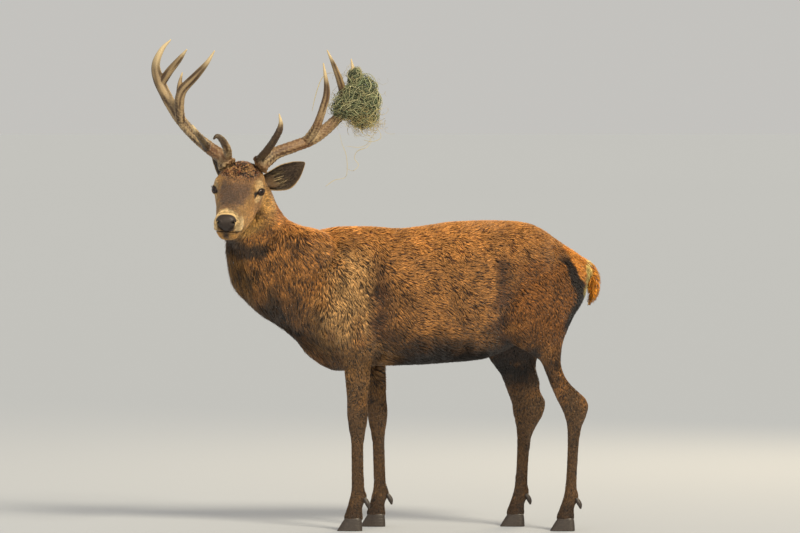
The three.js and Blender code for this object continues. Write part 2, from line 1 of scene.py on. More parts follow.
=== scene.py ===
import bpy
import numpy as np
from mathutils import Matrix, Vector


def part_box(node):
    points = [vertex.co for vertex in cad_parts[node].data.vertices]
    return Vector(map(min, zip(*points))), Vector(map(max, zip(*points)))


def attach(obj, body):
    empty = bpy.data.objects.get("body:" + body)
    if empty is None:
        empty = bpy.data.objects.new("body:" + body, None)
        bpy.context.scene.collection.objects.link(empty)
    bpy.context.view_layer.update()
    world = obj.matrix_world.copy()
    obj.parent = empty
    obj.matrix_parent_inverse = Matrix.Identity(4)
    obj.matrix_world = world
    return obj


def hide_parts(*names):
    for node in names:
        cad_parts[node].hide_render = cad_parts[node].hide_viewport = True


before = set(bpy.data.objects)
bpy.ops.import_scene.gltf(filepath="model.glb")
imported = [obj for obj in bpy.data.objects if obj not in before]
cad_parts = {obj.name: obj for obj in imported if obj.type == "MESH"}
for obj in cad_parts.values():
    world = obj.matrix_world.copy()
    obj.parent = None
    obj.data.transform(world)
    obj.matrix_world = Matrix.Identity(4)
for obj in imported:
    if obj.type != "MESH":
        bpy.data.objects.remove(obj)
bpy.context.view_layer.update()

# ------------------------------------------------------------------ standing place, camera and light
# The stag stands on a plain pale floor in soft studio light, warmer from above. All of it is
# worked out in millimetres on the animal's own axes and set down over the near fore hoof: -X is
# the way the trunk faces, -Y the animal's left side, Z the height above the floor.
MM = 0.001
FORE_TOE_X = -362.0
FORE_MIDDLE_Y = 111.0
CLAW_FROM_MIDDLE = 13.6
hoof_low, hoof_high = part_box("hoof_fore_left_outer")
PLACE = np.array([hoof_low.x - FORE_TOE_X * MM,
                  (hoof_low.y + hoof_high.y) / 2 + (FORE_MIDDLE_Y + CLAW_FROM_MIDDLE) * MM,
                  hoof_low.z])
CAMERA_DISTANCE = 25000.0
CAMERA_ELEVATION = np.radians(2.0)
CAMERA_AIM = [-137.0, 0.0, 945.0]
PICTURE_WIDTH = 2880.0            # what the picture takes in at the aim's distance
SENSOR = 36.0
FLOOR_REACH = 90.0                # metres


def in_place(points):
    """Points on the animal's axes in millimetres, as metres in the model's frame."""
    return np.asarray(points, float) * MM + PLACE


def linear(code):
    """An sRGB hex colour as linear RGB: c/12.92 when dark, else ((c + 0.055)/1.055) to the 2.4."""
    c = np.array([int(code[i:i + 2], 16) for i in (1, 3, 5)]) / 255
    return np.where(c <= 0.04045, c / 12.92, ((c + 0.055) / 1.055) ** 2.4)


def placed(name, data):
    """A new object in the scene for a mesh, a lamp or a camera."""
    made = bpy.data.objects.new(name, data)
    bpy.context.scene.collection.objects.link(made)
    return made


def give_attributes(mesh, **attributes):
    """Keep arrays of one row for each vertex: as colours where so named, else as vectors."""
    for key, values in attributes.items():
        colour = key.endswith("colour")
        if colour:
            values = np.hstack([values, np.ones((len(values), 1))])
        layer = mesh.attributes.new(key, "FLOAT_COLOR" if colour else "FLOAT_VECTOR", "POINT")
        layer.data.foreach_set("color" if colour else "vector", values.astype(np.float32).ravel())


def mesh_object(name, points, faces, **attributes):
    """A smooth mesh object from points in metres and faces of equal length, with its attributes."""
    mesh = bpy.data.meshes.new(name)
    faces = np.asarray(faces, np.int32)
    count, size = faces.shape
    mesh.vertices.add(len(points))
    mesh.vertices.foreach_set("co", np.asarray(points, np.float32).ravel())
    mesh.loops.add(count * size)
    mesh.loops.foreach_set("vertex_index", faces.ravel())
    mesh.polygons.add(count)
    mesh.polygons.foreach_set("loop_start", np.arange(count, dtype=np.int32) * size)
    mesh.polygons.foreach_set("use_smooth", np.ones(count, bool))
    mesh.update(calc_edges=True)
    give_attributes(mesh, **attributes)
    return placed(name, mesh)


def feed(node, inputs):
    """Give a node's inputs, by name or number, a value, a socket or another node's first output."""
    for socket, source in inputs.items():
        if isinstance(source, bpy.types.Node):
            source = source.outputs[0]
        if isinstance(source, bpy.types.NodeSocket):
            node.id_data.links.new(source, node.inputs[socket])
        else:
            node.inputs[socket].default_value = source


def add_node(tree, kind, inputs=(), **settings):
    """A node with its settings and its inputs."""
    node = tree.nodes.new(kind)
    for key, value in settings.items():
        setattr(node, key, value)
    feed(node, dict(inputs))
    return node


def new_material(name, **surface):
    """A material whose Principled shader has these socket values, with its tree and its shader."""
    made = bpy.data.materials.new(name)
    made.use_nodes = True
    shader = made.node_tree.nodes["Principled BSDF"]
    feed(shader, {socket.replace("_", " "): value for socket, value in surface.items()})
    return made, made.node_tree, shader


def area_light(name, place, target, size, power, colour):
    """A square soft light at a place in metres, aimed at a target."""
    lamp = bpy.data.lights.new(name, "AREA")
    lamp.size, lamp.energy, lamp.color = size, power, linear(colour)
    made = placed(name, lamp)
    made.location = place
    made.rotation_mode = "QUATERNION"
    made.rotation_quaternion = (made.location - Vector(target)).to_track_quat("Z", "Y")


camera = placed("camera", bpy.data.cameras.new("camera"))
bpy.context.scene.camera = camera
camera.data.sensor_width = SENSOR
camera.data.lens = SENSOR * CAMERA_DISTANCE / PICTURE_WIDTH
camera.data.clip_end = 400
away = np.array([0, -np.cos(CAMERA_ELEVATION), np.sin(CAMERA_ELEVATION)])
camera.location = in_place(CAMERA_AIM) + away * CAMERA_DISTANCE * MM
camera.rotation_euler = (np.pi / 2 - CAMERA_ELEVATION, 0, 0)

# Painted studio floor: matt, very slightly uneven. Far off it is as bright as the studio beyond it.
floor_paint, tree, shader = new_material("matt_floor_paint", Roughness=0.9)
grain = add_node(tree, "ShaderNodeTexNoise", {"Scale": 3.0, "Detail": 4.0})
tone = add_node(tree, "ShaderNodeMix", {0: grain, 6: (*linear("#AEB4BD"), 1), 7: (*linear("#B3B9C2"), 1)},
                data_type="RGBA")
feed(shader, {"Base Color": tone.outputs[2]})
corners = np.array([[-1, -1, 0], [1, -1, 0], [1, 1, 0], [-1, 1, 0]]) * FLOOR_REACH
floor = mesh_object("floor", corners, [[0, 1, 2, 3]])
floor.data.materials.append(floor_paint)

world = bpy.data.worlds.new("studio")
bpy.context.scene.world = world
world.use_nodes = True
feed(world.node_tree.nodes["Background"], {"Color": (*linear("#FFFDF8"), 1), "Strength": 0.55})
bpy.context.scene.view_settings.view_transform = "Standard"
sun = bpy.data.lights.new("skylight", "SUN")
sun.energy, sun.angle, sun.color = 3.3, np.radians(16), linear("#FFF0D2")
placed("skylight", sun).rotation_euler = np.radians([50.0, 0.0, 34.0])
area_light("front_soft_light", (-1.5, -6.0, 2.0), (0, 0, 0.9), 4.0, 90, "#FFF3DF")
area_light("back_edge_light", (2.5, 4.5, 3.5), (0, 0, 1.1), 2.5, 120, "#FFE2B0")

# ------------------------------------------------------------------ form of the body
# Trunk, neck, head, legs and tail out to the tips of the coat. Each is a loft of rounded sections
# along its length, and all are merged into one closed surface, which the skin lies under.
BACK = [[-560, 960], [-504, 1046], [-432, 1081], [-342, 1094], [-252, 1094], [-144, 1086],
        [-36, 1098], [54, 1110], [162, 1114], [252, 1113], [324, 1104], [378, 1080], [432, 1042],
        [486, 1007], [520, 982], [540, 950]]
BELLY = [[-560, 800], [-525, 690], [-470, 620], [-421, 584], [-367, 567], [-306, 569], [-216, 583],
         [-101, 587], [72, 598], [162, 608], [234, 637], [324, 688], [414, 745], [486, 796], [540, 890]]
TRUNK_HALF_WIDTH = [[-560, 40], [-520, 88], [-440, 136], [-340, 160], [-220, 174], [-80, 187],
                    [60, 192], [180, 184], [300, 172], [400, 154], [470, 122], [520, 78], [540, 38]]
TRUNK_WIDEST = [[-560, 0.5], [-300, 0.47], [60, 0.46], [300, 0.58], [540, 0.5]]   # share of depth
TRUNK_UPPER_POWER = [[-560, 2], [-340, 1.75], [-100, 2.05], [300, 2.15], [540, 2]]
TRUNK_LOWER_POWER = [[-560, 2], [-340, 1.85], [60, 2.15], [540, 2]]
THROAT = [[640, -470], [688, -530], [731, -584], [752, -622], [778, -657], [824, -706], [860, -742],
          [914, -759], [986, -769], [1040, -771], [1100, -764], [1160, -750], [1230, -735], [1290, -716]]
NAPE = [[640, -400], [720, -340], [900, -330], [1000, -345], [1060, -385], [1083, -428], [1098, -490],
        [1123, -539], [1159, -568], [1184, -581], [1230, -600], [1290, -640]]
NECK_CENTRE = [[640, 0], [752, -5], [824, -15], [914, -30], [986, -48], [1040, -65], [1098, -88],
               [1160, -112], [1230, -130], [1290, -140]]
NECK_HALF_WIDTH = [[640, 60], [688, 92], [752, 116], [824, 130], [914, 134], [986, 130], [1040, 121],
                   [1098, 108], [1160, 92], [1230, 74], [1290, 50]]
NECK_POWER = 2.1
EYE_LINE = np.array([-713.0, -230.0, 1226.0])     # midpoint between the eyes
HEAD_YAW, HEAD_PITCH, HEAD_ROLL = np.radians([10.5, 25.0, 3.0])
HEAD_TOP = [[-150, 22], [-125, 52], [-90, 70], [-50, 71], [-15, 64], [30, 49], [80, 38], [130, 31],
            [180, 25], [215, 18], [238, 4], [249, -14]]
HEAD_UNDER = [[-150, -92], [-120, -124], [-80, -142], [-40, -144], [0, -140], [40, -134], [80, -128],
              [120, -120], [160, -108], [192, -99], [216, -92], [236, -76], [249, -48]]
HEAD_HALF_WIDTH = [[-150, 48], [-120, 70], [-80, 84], [-40, 87], [0, 84], [30, 78], [60, 71],
                   [100, 63], [140, 56], [180, 50], [210, 49], [232, 44], [249, 24]]
HEAD_WIDEST = [[-150, -20], [-80, -14], [0, -4], [50, -20], [100, -30], [180, -38], [249, -30]]
HEAD_UPPER_POWER = [[-150, 2], [-60, 2.5], [60, 2.4], [249, 2.2]]
HEAD_LOWER_POWER = [[-150, 2], [-60, 2.1], [20, 2.2], [80, 2.5], [130, 2.5], [200, 2.3], [249, 2]]
BROW = [-10.0, 64.0, 24.0]
BROW_RADII = [44.0, 26.0, 19.0]
EYE = np.array([3.0, 77.5, 0.0])       # centre of the left eyeball in the head's own frame
LID_RADIUS = 19.2
FORELEG = {
    "front": [[34, -334], [43, -340], [79, -329], [122, -318], [158, -312], [300, -313], [340, -317],
              [374, -323], [421, -328], [464, -328], [518, -333], [590, -341], [650, -362], [720, -420],
              [800, -452], [900, -430], [985, -372]],
    "back": [[34, -272], [43, -268], [79, -272], [122, -254], [158, -264], [300, -266], [340, -262],
             [374, -256], [421, -250], [464, -252], [518, -246], [590, -238], [650, -222], [720, -208],
             [800, -214], [900, -244], [985, -300]],
    "outer": [[34, 134], [43, 138], [79, 134], [122, 132], [158, 127], [300, 127], [374, 132],
              [421, 135], [464, 133], [590, 142], [650, 154], [720, 168], [800, 173], [900, 163],
              [985, 112]],
    "inner": [[34, 88], [43, 84], [79, 88], [122, 90], [158, 93], [300, 93], [421, 82], [464, 84],
              [590, 72], [720, 60], [985, 60]],
}
HINDLEG = {
    "front": [[34, 428], [43, 422], [79, 434], [122, 448], [158, 455], [313, 463], [366, 462],
              [417, 450], [476, 421], [536, 396], [572, 382], [608, 366], [640, 320], [675, 256],
              [716, 218], [770, 198], [824, 194], [878, 205], [940, 232], [992, 296]],
    "back": [[34, 486], [43, 490], [79, 488], [122, 506], [158, 498], [248, 501], [313, 506],
             [366, 514], [417, 534], [450, 541], [476, 530], [500, 504], [536, 468], [572, 448],
             [608, 441], [660, 446], [716, 464], [770, 488], [824, 519], [878, 535], [920, 537],
             [955, 514], [992, 440]],
    "outer": [[34, 138], [43, 142], [79, 138], [122, 136], [158, 130], [313, 131], [400, 137],
              [464, 138], [572, 142], [662, 158], [716, 168], [824, 177], [878, 172], [940, 150],
              [992, 112]],
    "inner": [[34, 92], [43, 88], [79, 92], [122, 94], [158, 96], [313, 95], [400, 90], [464, 92],
              [572, 78], [662, 40], [716, 22], [992, 22]],
}
LEG_POWER = 2.2
RIGHT_FORELEG_SHIFT = dict.fromkeys(("front", "back"), [[0, 82], [420, 70], [600, 52], [760, 0], [985, 0]])
RIGHT_HINDLEG_SHIFT = {
    "front": [[0, -176], [313, -178], [400, -183], [464, -168], [536, -164], [608, -182], [675, -76],
              [770, 0]],
    "back": [[0, -176], [313, -168], [400, -148], [476, -150], [536, -100], [608, -80], [675, -40],
             [770, 0]],
}
NO_SHIFT = dict.fromkeys(("front", "back"), [[0, 0], [1, 0]])
TAIL = [[490, 0, 966, 20], [532, 0, 950, 24], [558, 0, 914, 24], [564, 0, 868, 22],
        [552, 0, 826, 14], [536, 0, 802, 5]]
TAIL_BROADER = 1.45
BODY_CELL = 0.0088               # metres across the faces of the merged surface



def unit(vectors):
    """Vectors scaled to length one."""
    return vectors / np.maximum(np.linalg.norm(vectors, axis=-1, keepdims=True), 1e-9)


def circle(sides):
    """Even angles round a full turn."""
    return np.linspace(0, 2 * np.pi, sides, endpoint=False)


def through(pairs):
    """A smooth function through [t, value] pairs that never overshoots them.

    Each stretch is a cubic Hermite curve. The slope at an inner pair is the harmonic mean of the
    straight slopes beside it, or zero where they point opposite ways.
    """
    t, v = np.array(pairs, float).T
    slope = np.diff(v) / np.diff(t)
    product = slope[:-1] * slope[1:]
    total = np.where(product > 0, slope[:-1] + slope[1:], 1.0)
    inner = np.where(product > 0, 2 * product / total, 0.0)
    tangent = np.concatenate([slope[:1], inner, slope[-1:]])

    def value(x):
        x = np.asarray(x, float)
        i = np.clip(np.searchsorted(t, x, side="right") - 1, 0, len(t) - 2)
        step = t[i + 1] - t[i]
        s = np.clip((x - t[i]) / step, 0, 1)
        return (v[i] * (2 * s**3 - 3 * s**2 + 1) + v[i + 1] * (3 * s**2 - 2 * s**3)
                + step * (tangent[i] * (s**3 - 2 * s**2 + s) + tangent[i + 1] * (s**3 - s**2)))
    return value


def read_off(t, *curves):
    """The values at t of smooth functions through each curve's pairs."""
    return [through(pairs)(t) for pairs in curves]


def outline(half, up, down, up_power, down_power, sides=72):
    """Rows of superellipses, |x/half|^p + |y/height|^p = 1, whose upper and lower halves differ."""
    c, s = np.cos(circle(sides)), np.sin(circle(sides))
    half, up, down, up_power, down_power = (np.atleast_1d(a).astype(float)[:, None]
                                            for a in (half, up, down, up_power, down_power))
    power = 2 / np.where(s > 0, up_power, down_power)
    across = half * np.sign(c) * np.abs(c) ** power
    return across, np.where(s > 0, up, down) * np.sign(s) * np.abs(s) ** power


def lofted(rings):
    """Points and outward triangles of a closed surface over an array of rings, with fanned ends."""
    count, sides, _ = rings.shape
    points = np.concatenate([rings.reshape(-1, 3), rings[:1].mean(1), rings[-1:].mean(1)])
    i = np.arange(sides)
    j = (i + 1) % sides
    row = (np.arange(count - 1) * sides)[:, None]
    a, b, c, d = row + i, row + j, row + sides + j, row + sides + i
    walls = np.concatenate([np.stack([a, b, c], -1), np.stack([a, c, d], -1)]).reshape(-1, 3)
    last = (count - 1) * sides
    near = np.stack([np.full(sides, count * sides), j, i], -1)
    far = np.stack([np.full(sides, count * sides + 1), last + i, last + j], -1)
    faces = np.concatenate([walls, near, far])
    p, q, r = points[faces].transpose(1, 0, 2)
    volume = np.einsum("ij,ij->i", p, np.cross(q, r)).sum()
    return points, faces if volume > 0 else faces[:, ::-1]


def gathered(parts):
    """Several (points, faces) put together as one."""
    starts = np.cumsum([0] + [len(points) for points, _ in parts])
    return (np.concatenate([points for points, _ in parts]),
            np.concatenate([faces + start for (_, faces), start in zip(parts, starts)]))


def across_rings(t, top, under, level, half, upper_power, lower_power):
    """Sections square to a length t, from an under edge to a top edge, half wide at their level."""
    y, z = outline(half, top - level, level - under, upper_power, lower_power)
    return np.stack([np.broadcast_to(t[:, None], y.shape), y, level[:, None] + z], -1)


def level_rings(z, front, back, middle, half, power, side=1):
    """Level sections at heights z between a front and a back edge, half wide about a middle."""
    x, y = outline((back - front) / 2, half, half, power, power)
    return np.stack([(front + back)[:, None] / 2 + x, side * (middle[:, None] + y),
                     np.broadcast_to(z[:, None], x.shape)], -1)


def trunk_rings():
    """Sections across X, half as wide as the width curve, from the belly curve up to the back."""
    x = np.linspace(BACK[0][0], BACK[-1][0], 150)
    back, belly, widest, *shape = read_off(x, BACK, BELLY, TRUNK_WIDEST, TRUNK_HALF_WIDTH,
                                           TRUNK_UPPER_POWER, TRUNK_LOWER_POWER)
    return across_rings(x, back, belly, belly + widest * (back - belly), *shape)


def neck_rings():
    """Level sections from the breast to the nape, each centred where the neck bends to."""
    z = np.linspace(THROAT[0][0], THROAT[-1][0], 110)
    return level_rings(z, *read_off(z, THROAT, NAPE, NECK_CENTRE, NECK_HALF_WIDTH), NECK_POWER)


def leg_rings(shape, side, shift):
    """Level sections between a leg's front and back edges and its outer and inner faces."""
    z = np.linspace(shape["front"][0][0], shape["front"][-1][0], 160)
    front, back = (through(shape[edge])(z) + through(shift[edge])(z) for edge in ("front", "back"))
    outer, inner = read_off(z, shape["outer"], shape["inner"])
    return level_rings(z, front, back, (outer + inner) / 2, (outer - inner) / 2, LEG_POWER, side)


head_level = np.array([-np.sin(HEAD_YAW), -np.cos(HEAD_YAW), 0.0])
plumb = np.array([0.0, 0.0, 1.0])
HEAD_FORWARD = head_level * np.cos(HEAD_PITCH) - plumb * np.sin(HEAD_PITCH)
upright = head_level * np.sin(HEAD_PITCH) + plumb * np.cos(HEAD_PITCH)
HEAD_UP = upright * np.cos(HEAD_ROLL) + np.cross(upright, HEAD_FORWARD) * np.sin(HEAD_ROLL)
HEAD_AXES = np.array([HEAD_FORWARD, np.cross(HEAD_UP, HEAD_FORWARD), HEAD_UP])


def on_head(points):
    """Points given as (towards the nose, to the left, up) from between the eyes, on the body's axes."""
    return EYE_LINE + np.asarray(points, float) @ HEAD_AXES


def from_head(points):
    """The reverse of on_head: how far a point lies along each of the head's three axes."""
    return (points - EYE_LINE) @ HEAD_AXES.T


def head_rings():
    """Sections across the head's length, from behind the poll to the nose."""
    s = np.linspace(HEAD_TOP[0][0], HEAD_TOP[-1][0], 120)
    return on_head(across_rings(s, *read_off(s, HEAD_TOP, HEAD_UNDER, HEAD_WIDEST, HEAD_HALF_WIDTH,
                                             HEAD_UPPER_POWER, HEAD_LOWER_POWER)))


def ellipsoid_rings(centre, radii, count=24, sides=36):
    """Rings of an ellipsoid along its first axis, stopping just short of its poles."""
    t = np.linspace(0.06, np.pi - 0.06, count)[:, None]
    a = circle(sides)
    ball = np.stack([-np.cos(t) + 0 * a, np.sin(t) * np.cos(a), np.sin(t) * np.sin(a)], -1)
    return np.asarray(centre) + ball * np.asarray(radii)


def run_along(line):
    """How far along a line of points each of them is."""
    return np.concatenate([[0], np.cumsum(np.linalg.norm(np.diff(line[:, :3], axis=0), axis=1))])


def curve_through(rows, count):
    """Even points and unit tangents of a Catmull-Rom curve through [x, y, z, radius] rows."""
    p = np.array(rows, float)
    p = np.concatenate([2 * p[:1] - p[1:2], p, 2 * p[-1:] - p[-2:-1]])
    t = np.linspace(0, len(rows) - 1, 40 * len(rows))
    i = np.clip(t.astype(int), 0, len(rows) - 2)
    f = (t - i)[:, None]
    a, b, c, d = p[i], p[i + 1], p[i + 2], p[i + 3]
    fine = 0.5 * (2 * b + (c - a) * f + (2 * a - 5 * b + 4 * c - d) * f**2
                  + (3 * b - a - 3 * c + d) * f**3)
    run = run_along(fine)
    even = np.linspace(0, run[-1], count)
    made = np.stack([np.interp(even, run, fine[:, k]) for k in range(4)], -1)
    return made, unit(np.gradient(made[:, :3], axis=0))


def tube_rings(rows, count, sides, start=(0.0, 1.0, 0.0)):
    """Round sections square to a curve, each turned as little as can be from the one before."""
    line, tangent = curve_through(rows, count)
    normals = np.empty_like(tangent)
    last = np.array(start, float)
    for k, along in enumerate(tangent):
        last = unit(last - along * (last @ along))
        normals[k] = last
    a = circle(sides)[None, :, None]
    radius = np.maximum(line[:, 3], 0.5)[:, None, None]
    return line[:, None, :3] + radius * (np.cos(a) * normals[:, None]
                                         + np.sin(a) * np.cross(tangent, normals)[:, None])


def merged_mesh(parts, cell):
    """One closed mesh round several overlapping closed surfaces, with faces of about one size."""
    points, faces = gathered(parts)
    rough = mesh_object("rough", in_place(points), faces)
    wrap = rough.modifiers.new("merge", "REMESH")
    wrap.mode, wrap.voxel_size = "VOXEL", cell
    made = bpy.data.meshes.new_from_object(rough.evaluated_get(bpy.context.evaluated_depsgraph_get()))
    bpy.data.objects.remove(rough)
    return made


def numbers_of(rows, what, width, kind=np.float32):
    """One property of a mesh's vertices, edges or triangles, as rows of numbers."""
    values = np.empty(len(rows) * width, kind)
    rows.foreach_get(what, values)
    return values.reshape(-1, width)


def vertices_of(mesh):
    """A mesh's vertices on the animal's axes in millimetres."""
    return (numbers_of(mesh.vertices, "co", 3).astype(float) - PLACE) / MM


def put_vertices(mesh, points):
    """Move a mesh's vertices to points on the animal's axes."""
    mesh.vertices.foreach_set("co", in_place(points).astype(np.float32).ravel())
    mesh.update()


def edges_of(mesh):
    """A mesh's edges as pairs of vertex numbers."""
    return numbers_of(mesh.edges, "vertices", 2, np.int32)


def neighbour_mean(values, edges):
    """The mean over each vertex's neighbours of an array with one row for each vertex."""
    count = len(values)
    a, b = edges.T
    degree = np.bincount(a, minlength=count) + np.bincount(b, minlength=count)
    total = [np.bincount(a, values[b, k], count) + np.bincount(b, values[a, k], count)
             for k in range(values.shape[1])]
    return np.stack(total, -1) / np.maximum(degree, 1)[:, None]


def smoothed(points, edges, strength, rounds):
    """Each vertex steps towards its neighbours' mean, then back by 1.04 times as much.

    The step back keeps round forms from shrinking. strength is each vertex's share of a step.
    """
    for _ in range(rounds):
        for step in (0.6, -0.624):
            points = points + step * strength[:, None] * (neighbour_mean(points, edges) - points)
    return points


def ramp(x, low, high):
    """0 below low, 1 above high, and 3t^2 - 2t^3 between."""
    t = np.clip((x - low) / (high - low), 0, 1)
    return t * t * (3 - 2 * t)


def blot(points, centre, radii):
    """A soft spot: e to the minus of the summed squares of distance over radius on each axis."""
    return np.exp(-(((points - np.asarray(centre)) / np.asarray(radii)) ** 2).sum(-1))


def mottle(points, size, seed):
    """Smooth random patches about one size across, near 0 on average and mostly within 1.

    It is the sum of sixteen plane waves with random directions and phases.
    """
    own = np.random.default_rng(seed)
    waves = own.normal(size=(3, 16))
    waves *= own.uniform(0.7, 1.4, 16) * np.pi / size / np.linalg.norm(waves, axis=0)
    return np.sin(points @ waves + own.uniform(0, 2 * np.pi, 16)).sum(-1) * 0.35


solids = [trunk_rings(), neck_rings(), head_rings(), tube_rings(TAIL, 40, 40) * [1, TAIL_BROADER, 1],
          leg_rings(FORELEG, -1, NO_SHIFT), leg_rings(FORELEG, 1, RIGHT_FORELEG_SHIFT),
          leg_rings(HINDLEG, -1, NO_SHIFT), leg_rings(HINDLEG, 1, RIGHT_HINDLEG_SHIFT)]
for side in (-1, 1):
    mirror = [1, side, 1]
    solids.append(on_head(ellipsoid_rings(np.multiply(BROW, mirror), BROW_RADII)))
    solids.append(on_head(ellipsoid_rings(EYE * mirror, [LID_RADIUS + 5, LID_RADIUS, LID_RADIUS])))
body = merged_mesh([lofted(rings) for rings in solids], BODY_CELL)
form, edges = vertices_of(body), edges_of(body)
# The joins of the legs and neck with the trunk are rounded further than the slim legs, face and tail.
form = smoothed(form, edges, np.ones(len(form)), 6)
fleshy = ramp(form[:, 2], 540, 660) * ramp(np.linalg.norm(form - on_head([40, 0, 0]), axis=1), 190, 260)
fleshy *= ramp(np.linalg.norm(form - [560, 0, 880], axis=1), 60, 110)
put_vertices(body, smoothed(form, edges, fleshy, 60))

# ------------------------------------------------------------------ hide
# One hide from nose to hoof, lying under the coat by the coat's own depth. Round the face it is
# finer, with the cheekbones, lids, nostrils and lips that short hair doesn't hide. Its colour is
# the same as the coat's over it.
# How the coat lies: at [x, distance from the middle, z] it is combed towards [x, outwards, z],
# and is so deep, so long and half so wide in each lock, in millimetres.
BODY_COMB = [
    [-440, 30, 1080, 0.95, 0.2, -0.2, 18, 37, 2.3], [-300, 40, 1092, 1.0, 0.15, -0.1, 16, 34, 2.2],
    [-100, 50, 1088, 1.0, 0.2, -0.12, 15, 30, 2.2], [100, 50, 1108, 1.0, 0.2, -0.12, 15, 30, 2.2],
    [300, 50, 1104, 0.97, 0.2, -0.3, 15, 30, 2.2], [440, 45, 1040, 0.8, 0.2, -0.6, 15, 30, 2.2],
    [-300, 140, 1000, 0.75, 0.2, -0.65, 17, 38, 2.3], [-100, 150, 1000, 0.92, 0.2, -0.38, 16, 34, 2.3],
    [100, 160, 1010, 0.93, 0.2, -0.36, 15, 32, 2.3], [300, 150, 1010, 0.85, 0.2, -0.5, 15, 32, 2.3],
    [430, 120, 960, 0.72, 0.1, -0.7, 15, 30, 2.2], [-330, 158, 860, 0.35, 0, -0.93, 18, 43, 2.3],
    [-200, 172, 850, 0.72, 0, -0.7, 17, 38, 2.3], [0, 188, 850, 0.88, 0, -0.48, 16, 34, 2.3],
    [200, 182, 850, 0.88, 0, -0.48, 15, 32, 2.3], [330, 176, 850, 0.7, 0, -0.7, 15, 30, 2.3],
    [450, 150, 850, 0.5, 0, -0.85, 14, 29, 2.2], [-350, 150, 720, 0.05, 0, -1.0, 16, 37, 2.2],
    [-200, 160, 700, 0.75, 0, -0.66, 16, 35, 2.3], [0, 170, 690, 0.95, 0, -0.3, 17, 35, 2.3],
    [150, 160, 700, 0.95, 0, -0.25, 17, 35, 2.3], [250, 150, 740, 0.6, 0, -0.8, 15, 30, 2.2],
    [390, 150, 720, 0.2, 0, -0.98, 12, 26, 2], [-200, 40, 590, 1.0, 0, 0, 18, 37, 2.3],
    [100, 40, 605, 1.0, 0, 0.05, 18, 37, 2.3], [-480, 60, 640, 0.6, 0, -0.8, 24, 51, 2.3],
    [-560, 50, 740, 0.45, 0, -0.9, 28, 59, 2.3], [-470, 140, 780, 0.1, 0, -1.0, 19, 43, 2.3],
    [-450, 150, 950, 0.4, 0, -0.9, 19, 45, 2.3], [535, 50, 930, 0.4, 0.1, -0.9, 14, 32, 2],
    [520, 70, 850, 0.35, 0.1, -0.9, 13, 34, 2], [480, 90, 760, 0.2, 0, -1.0, 12, 29, 2],
    [-300, 140, 620, 0.05, 0, -1.0, 10, 22, 1.8], [-290, 110, 500, 0, 0, -1.0, 6, 18, 1.8],
    [-290, 110, 400, 0, 0, -1.0, 5, 14, 1.5], [-290, 110, 250, 0, 0, -1.0, 4.5, 12, 1.4],
    [-290, 110, 120, 0, 0, -1.0, 5, 13, 1.5], [-305, 110, 55, 0, 0, -1.0, 4, 12, 1.4],
    [400, 140, 620, 0.1, 0, -1.0, 10, 22, 1.8], [220, 110, 590, 0.1, 0, -1.0, 9, 18, 1.8],
    [255, 110, 520, 0.1, 0, -1.0, 6, 15, 1.6], [450, 115, 520, 0.2, 0, -1.0, 6, 18, 1.8],
    [500, 115, 420, 0, 0, -1.0, 5, 15, 1.6], [480, 115, 280, 0, 0, -1.0, 4.5, 12, 1.4],
    [470, 115, 130, 0, 0, -1.0, 5, 14, 1.5], [455, 115, 55, 0, 0, -1.0, 4, 12, 1.4],
    [350, 30, 700, 0.2, 0, -1.0, 10, 21, 1.8], [-300, 60, 610, 0, 0, -1.0, 9, 19, 1.8],
    [562, 0, 900, 0, 0, -1.0, 17, 37, 1.9], [552, 0, 830, -0.35, 0, -0.93, 13, 38, 1.8],
]
# The same for the neck, at [height, 0 on the throat to 1 on the side to 2 on the nape].
NECK_COMB = [
    [760, 0, 0.6, 0, -0.8, 30, 78, 1.6], [760, 1, 0.2, 0, -0.98, 24, 60, 1.6],
    [900, 0, 0.12, 0, -1.0, 34, 80, 1.6], [900, 1, 0.18, 0, -0.98, 24, 60, 1.6],
    [1020, 0, 0, 0, -1.0, 32, 74, 1.6], [1020, 1, 0.3, 0, -0.95, 22, 58, 1.6],
    [1040, 2, 0.8, 0, -0.6, 20, 48, 1.6], [1130, 0, -0.03, 0, -1.0, 24, 56, 1.5],
    [1130, 1, 0.25, 0, -0.96, 18, 48, 1.5], [1120, 2, 0.7, 0, -0.7, 18, 44, 1.5],
    [1200, 1, 0.2, 0, -0.98, 12, 34, 1.3], [1200, 2, 0.5, 0, -0.87, 14, 34, 1.3],
]
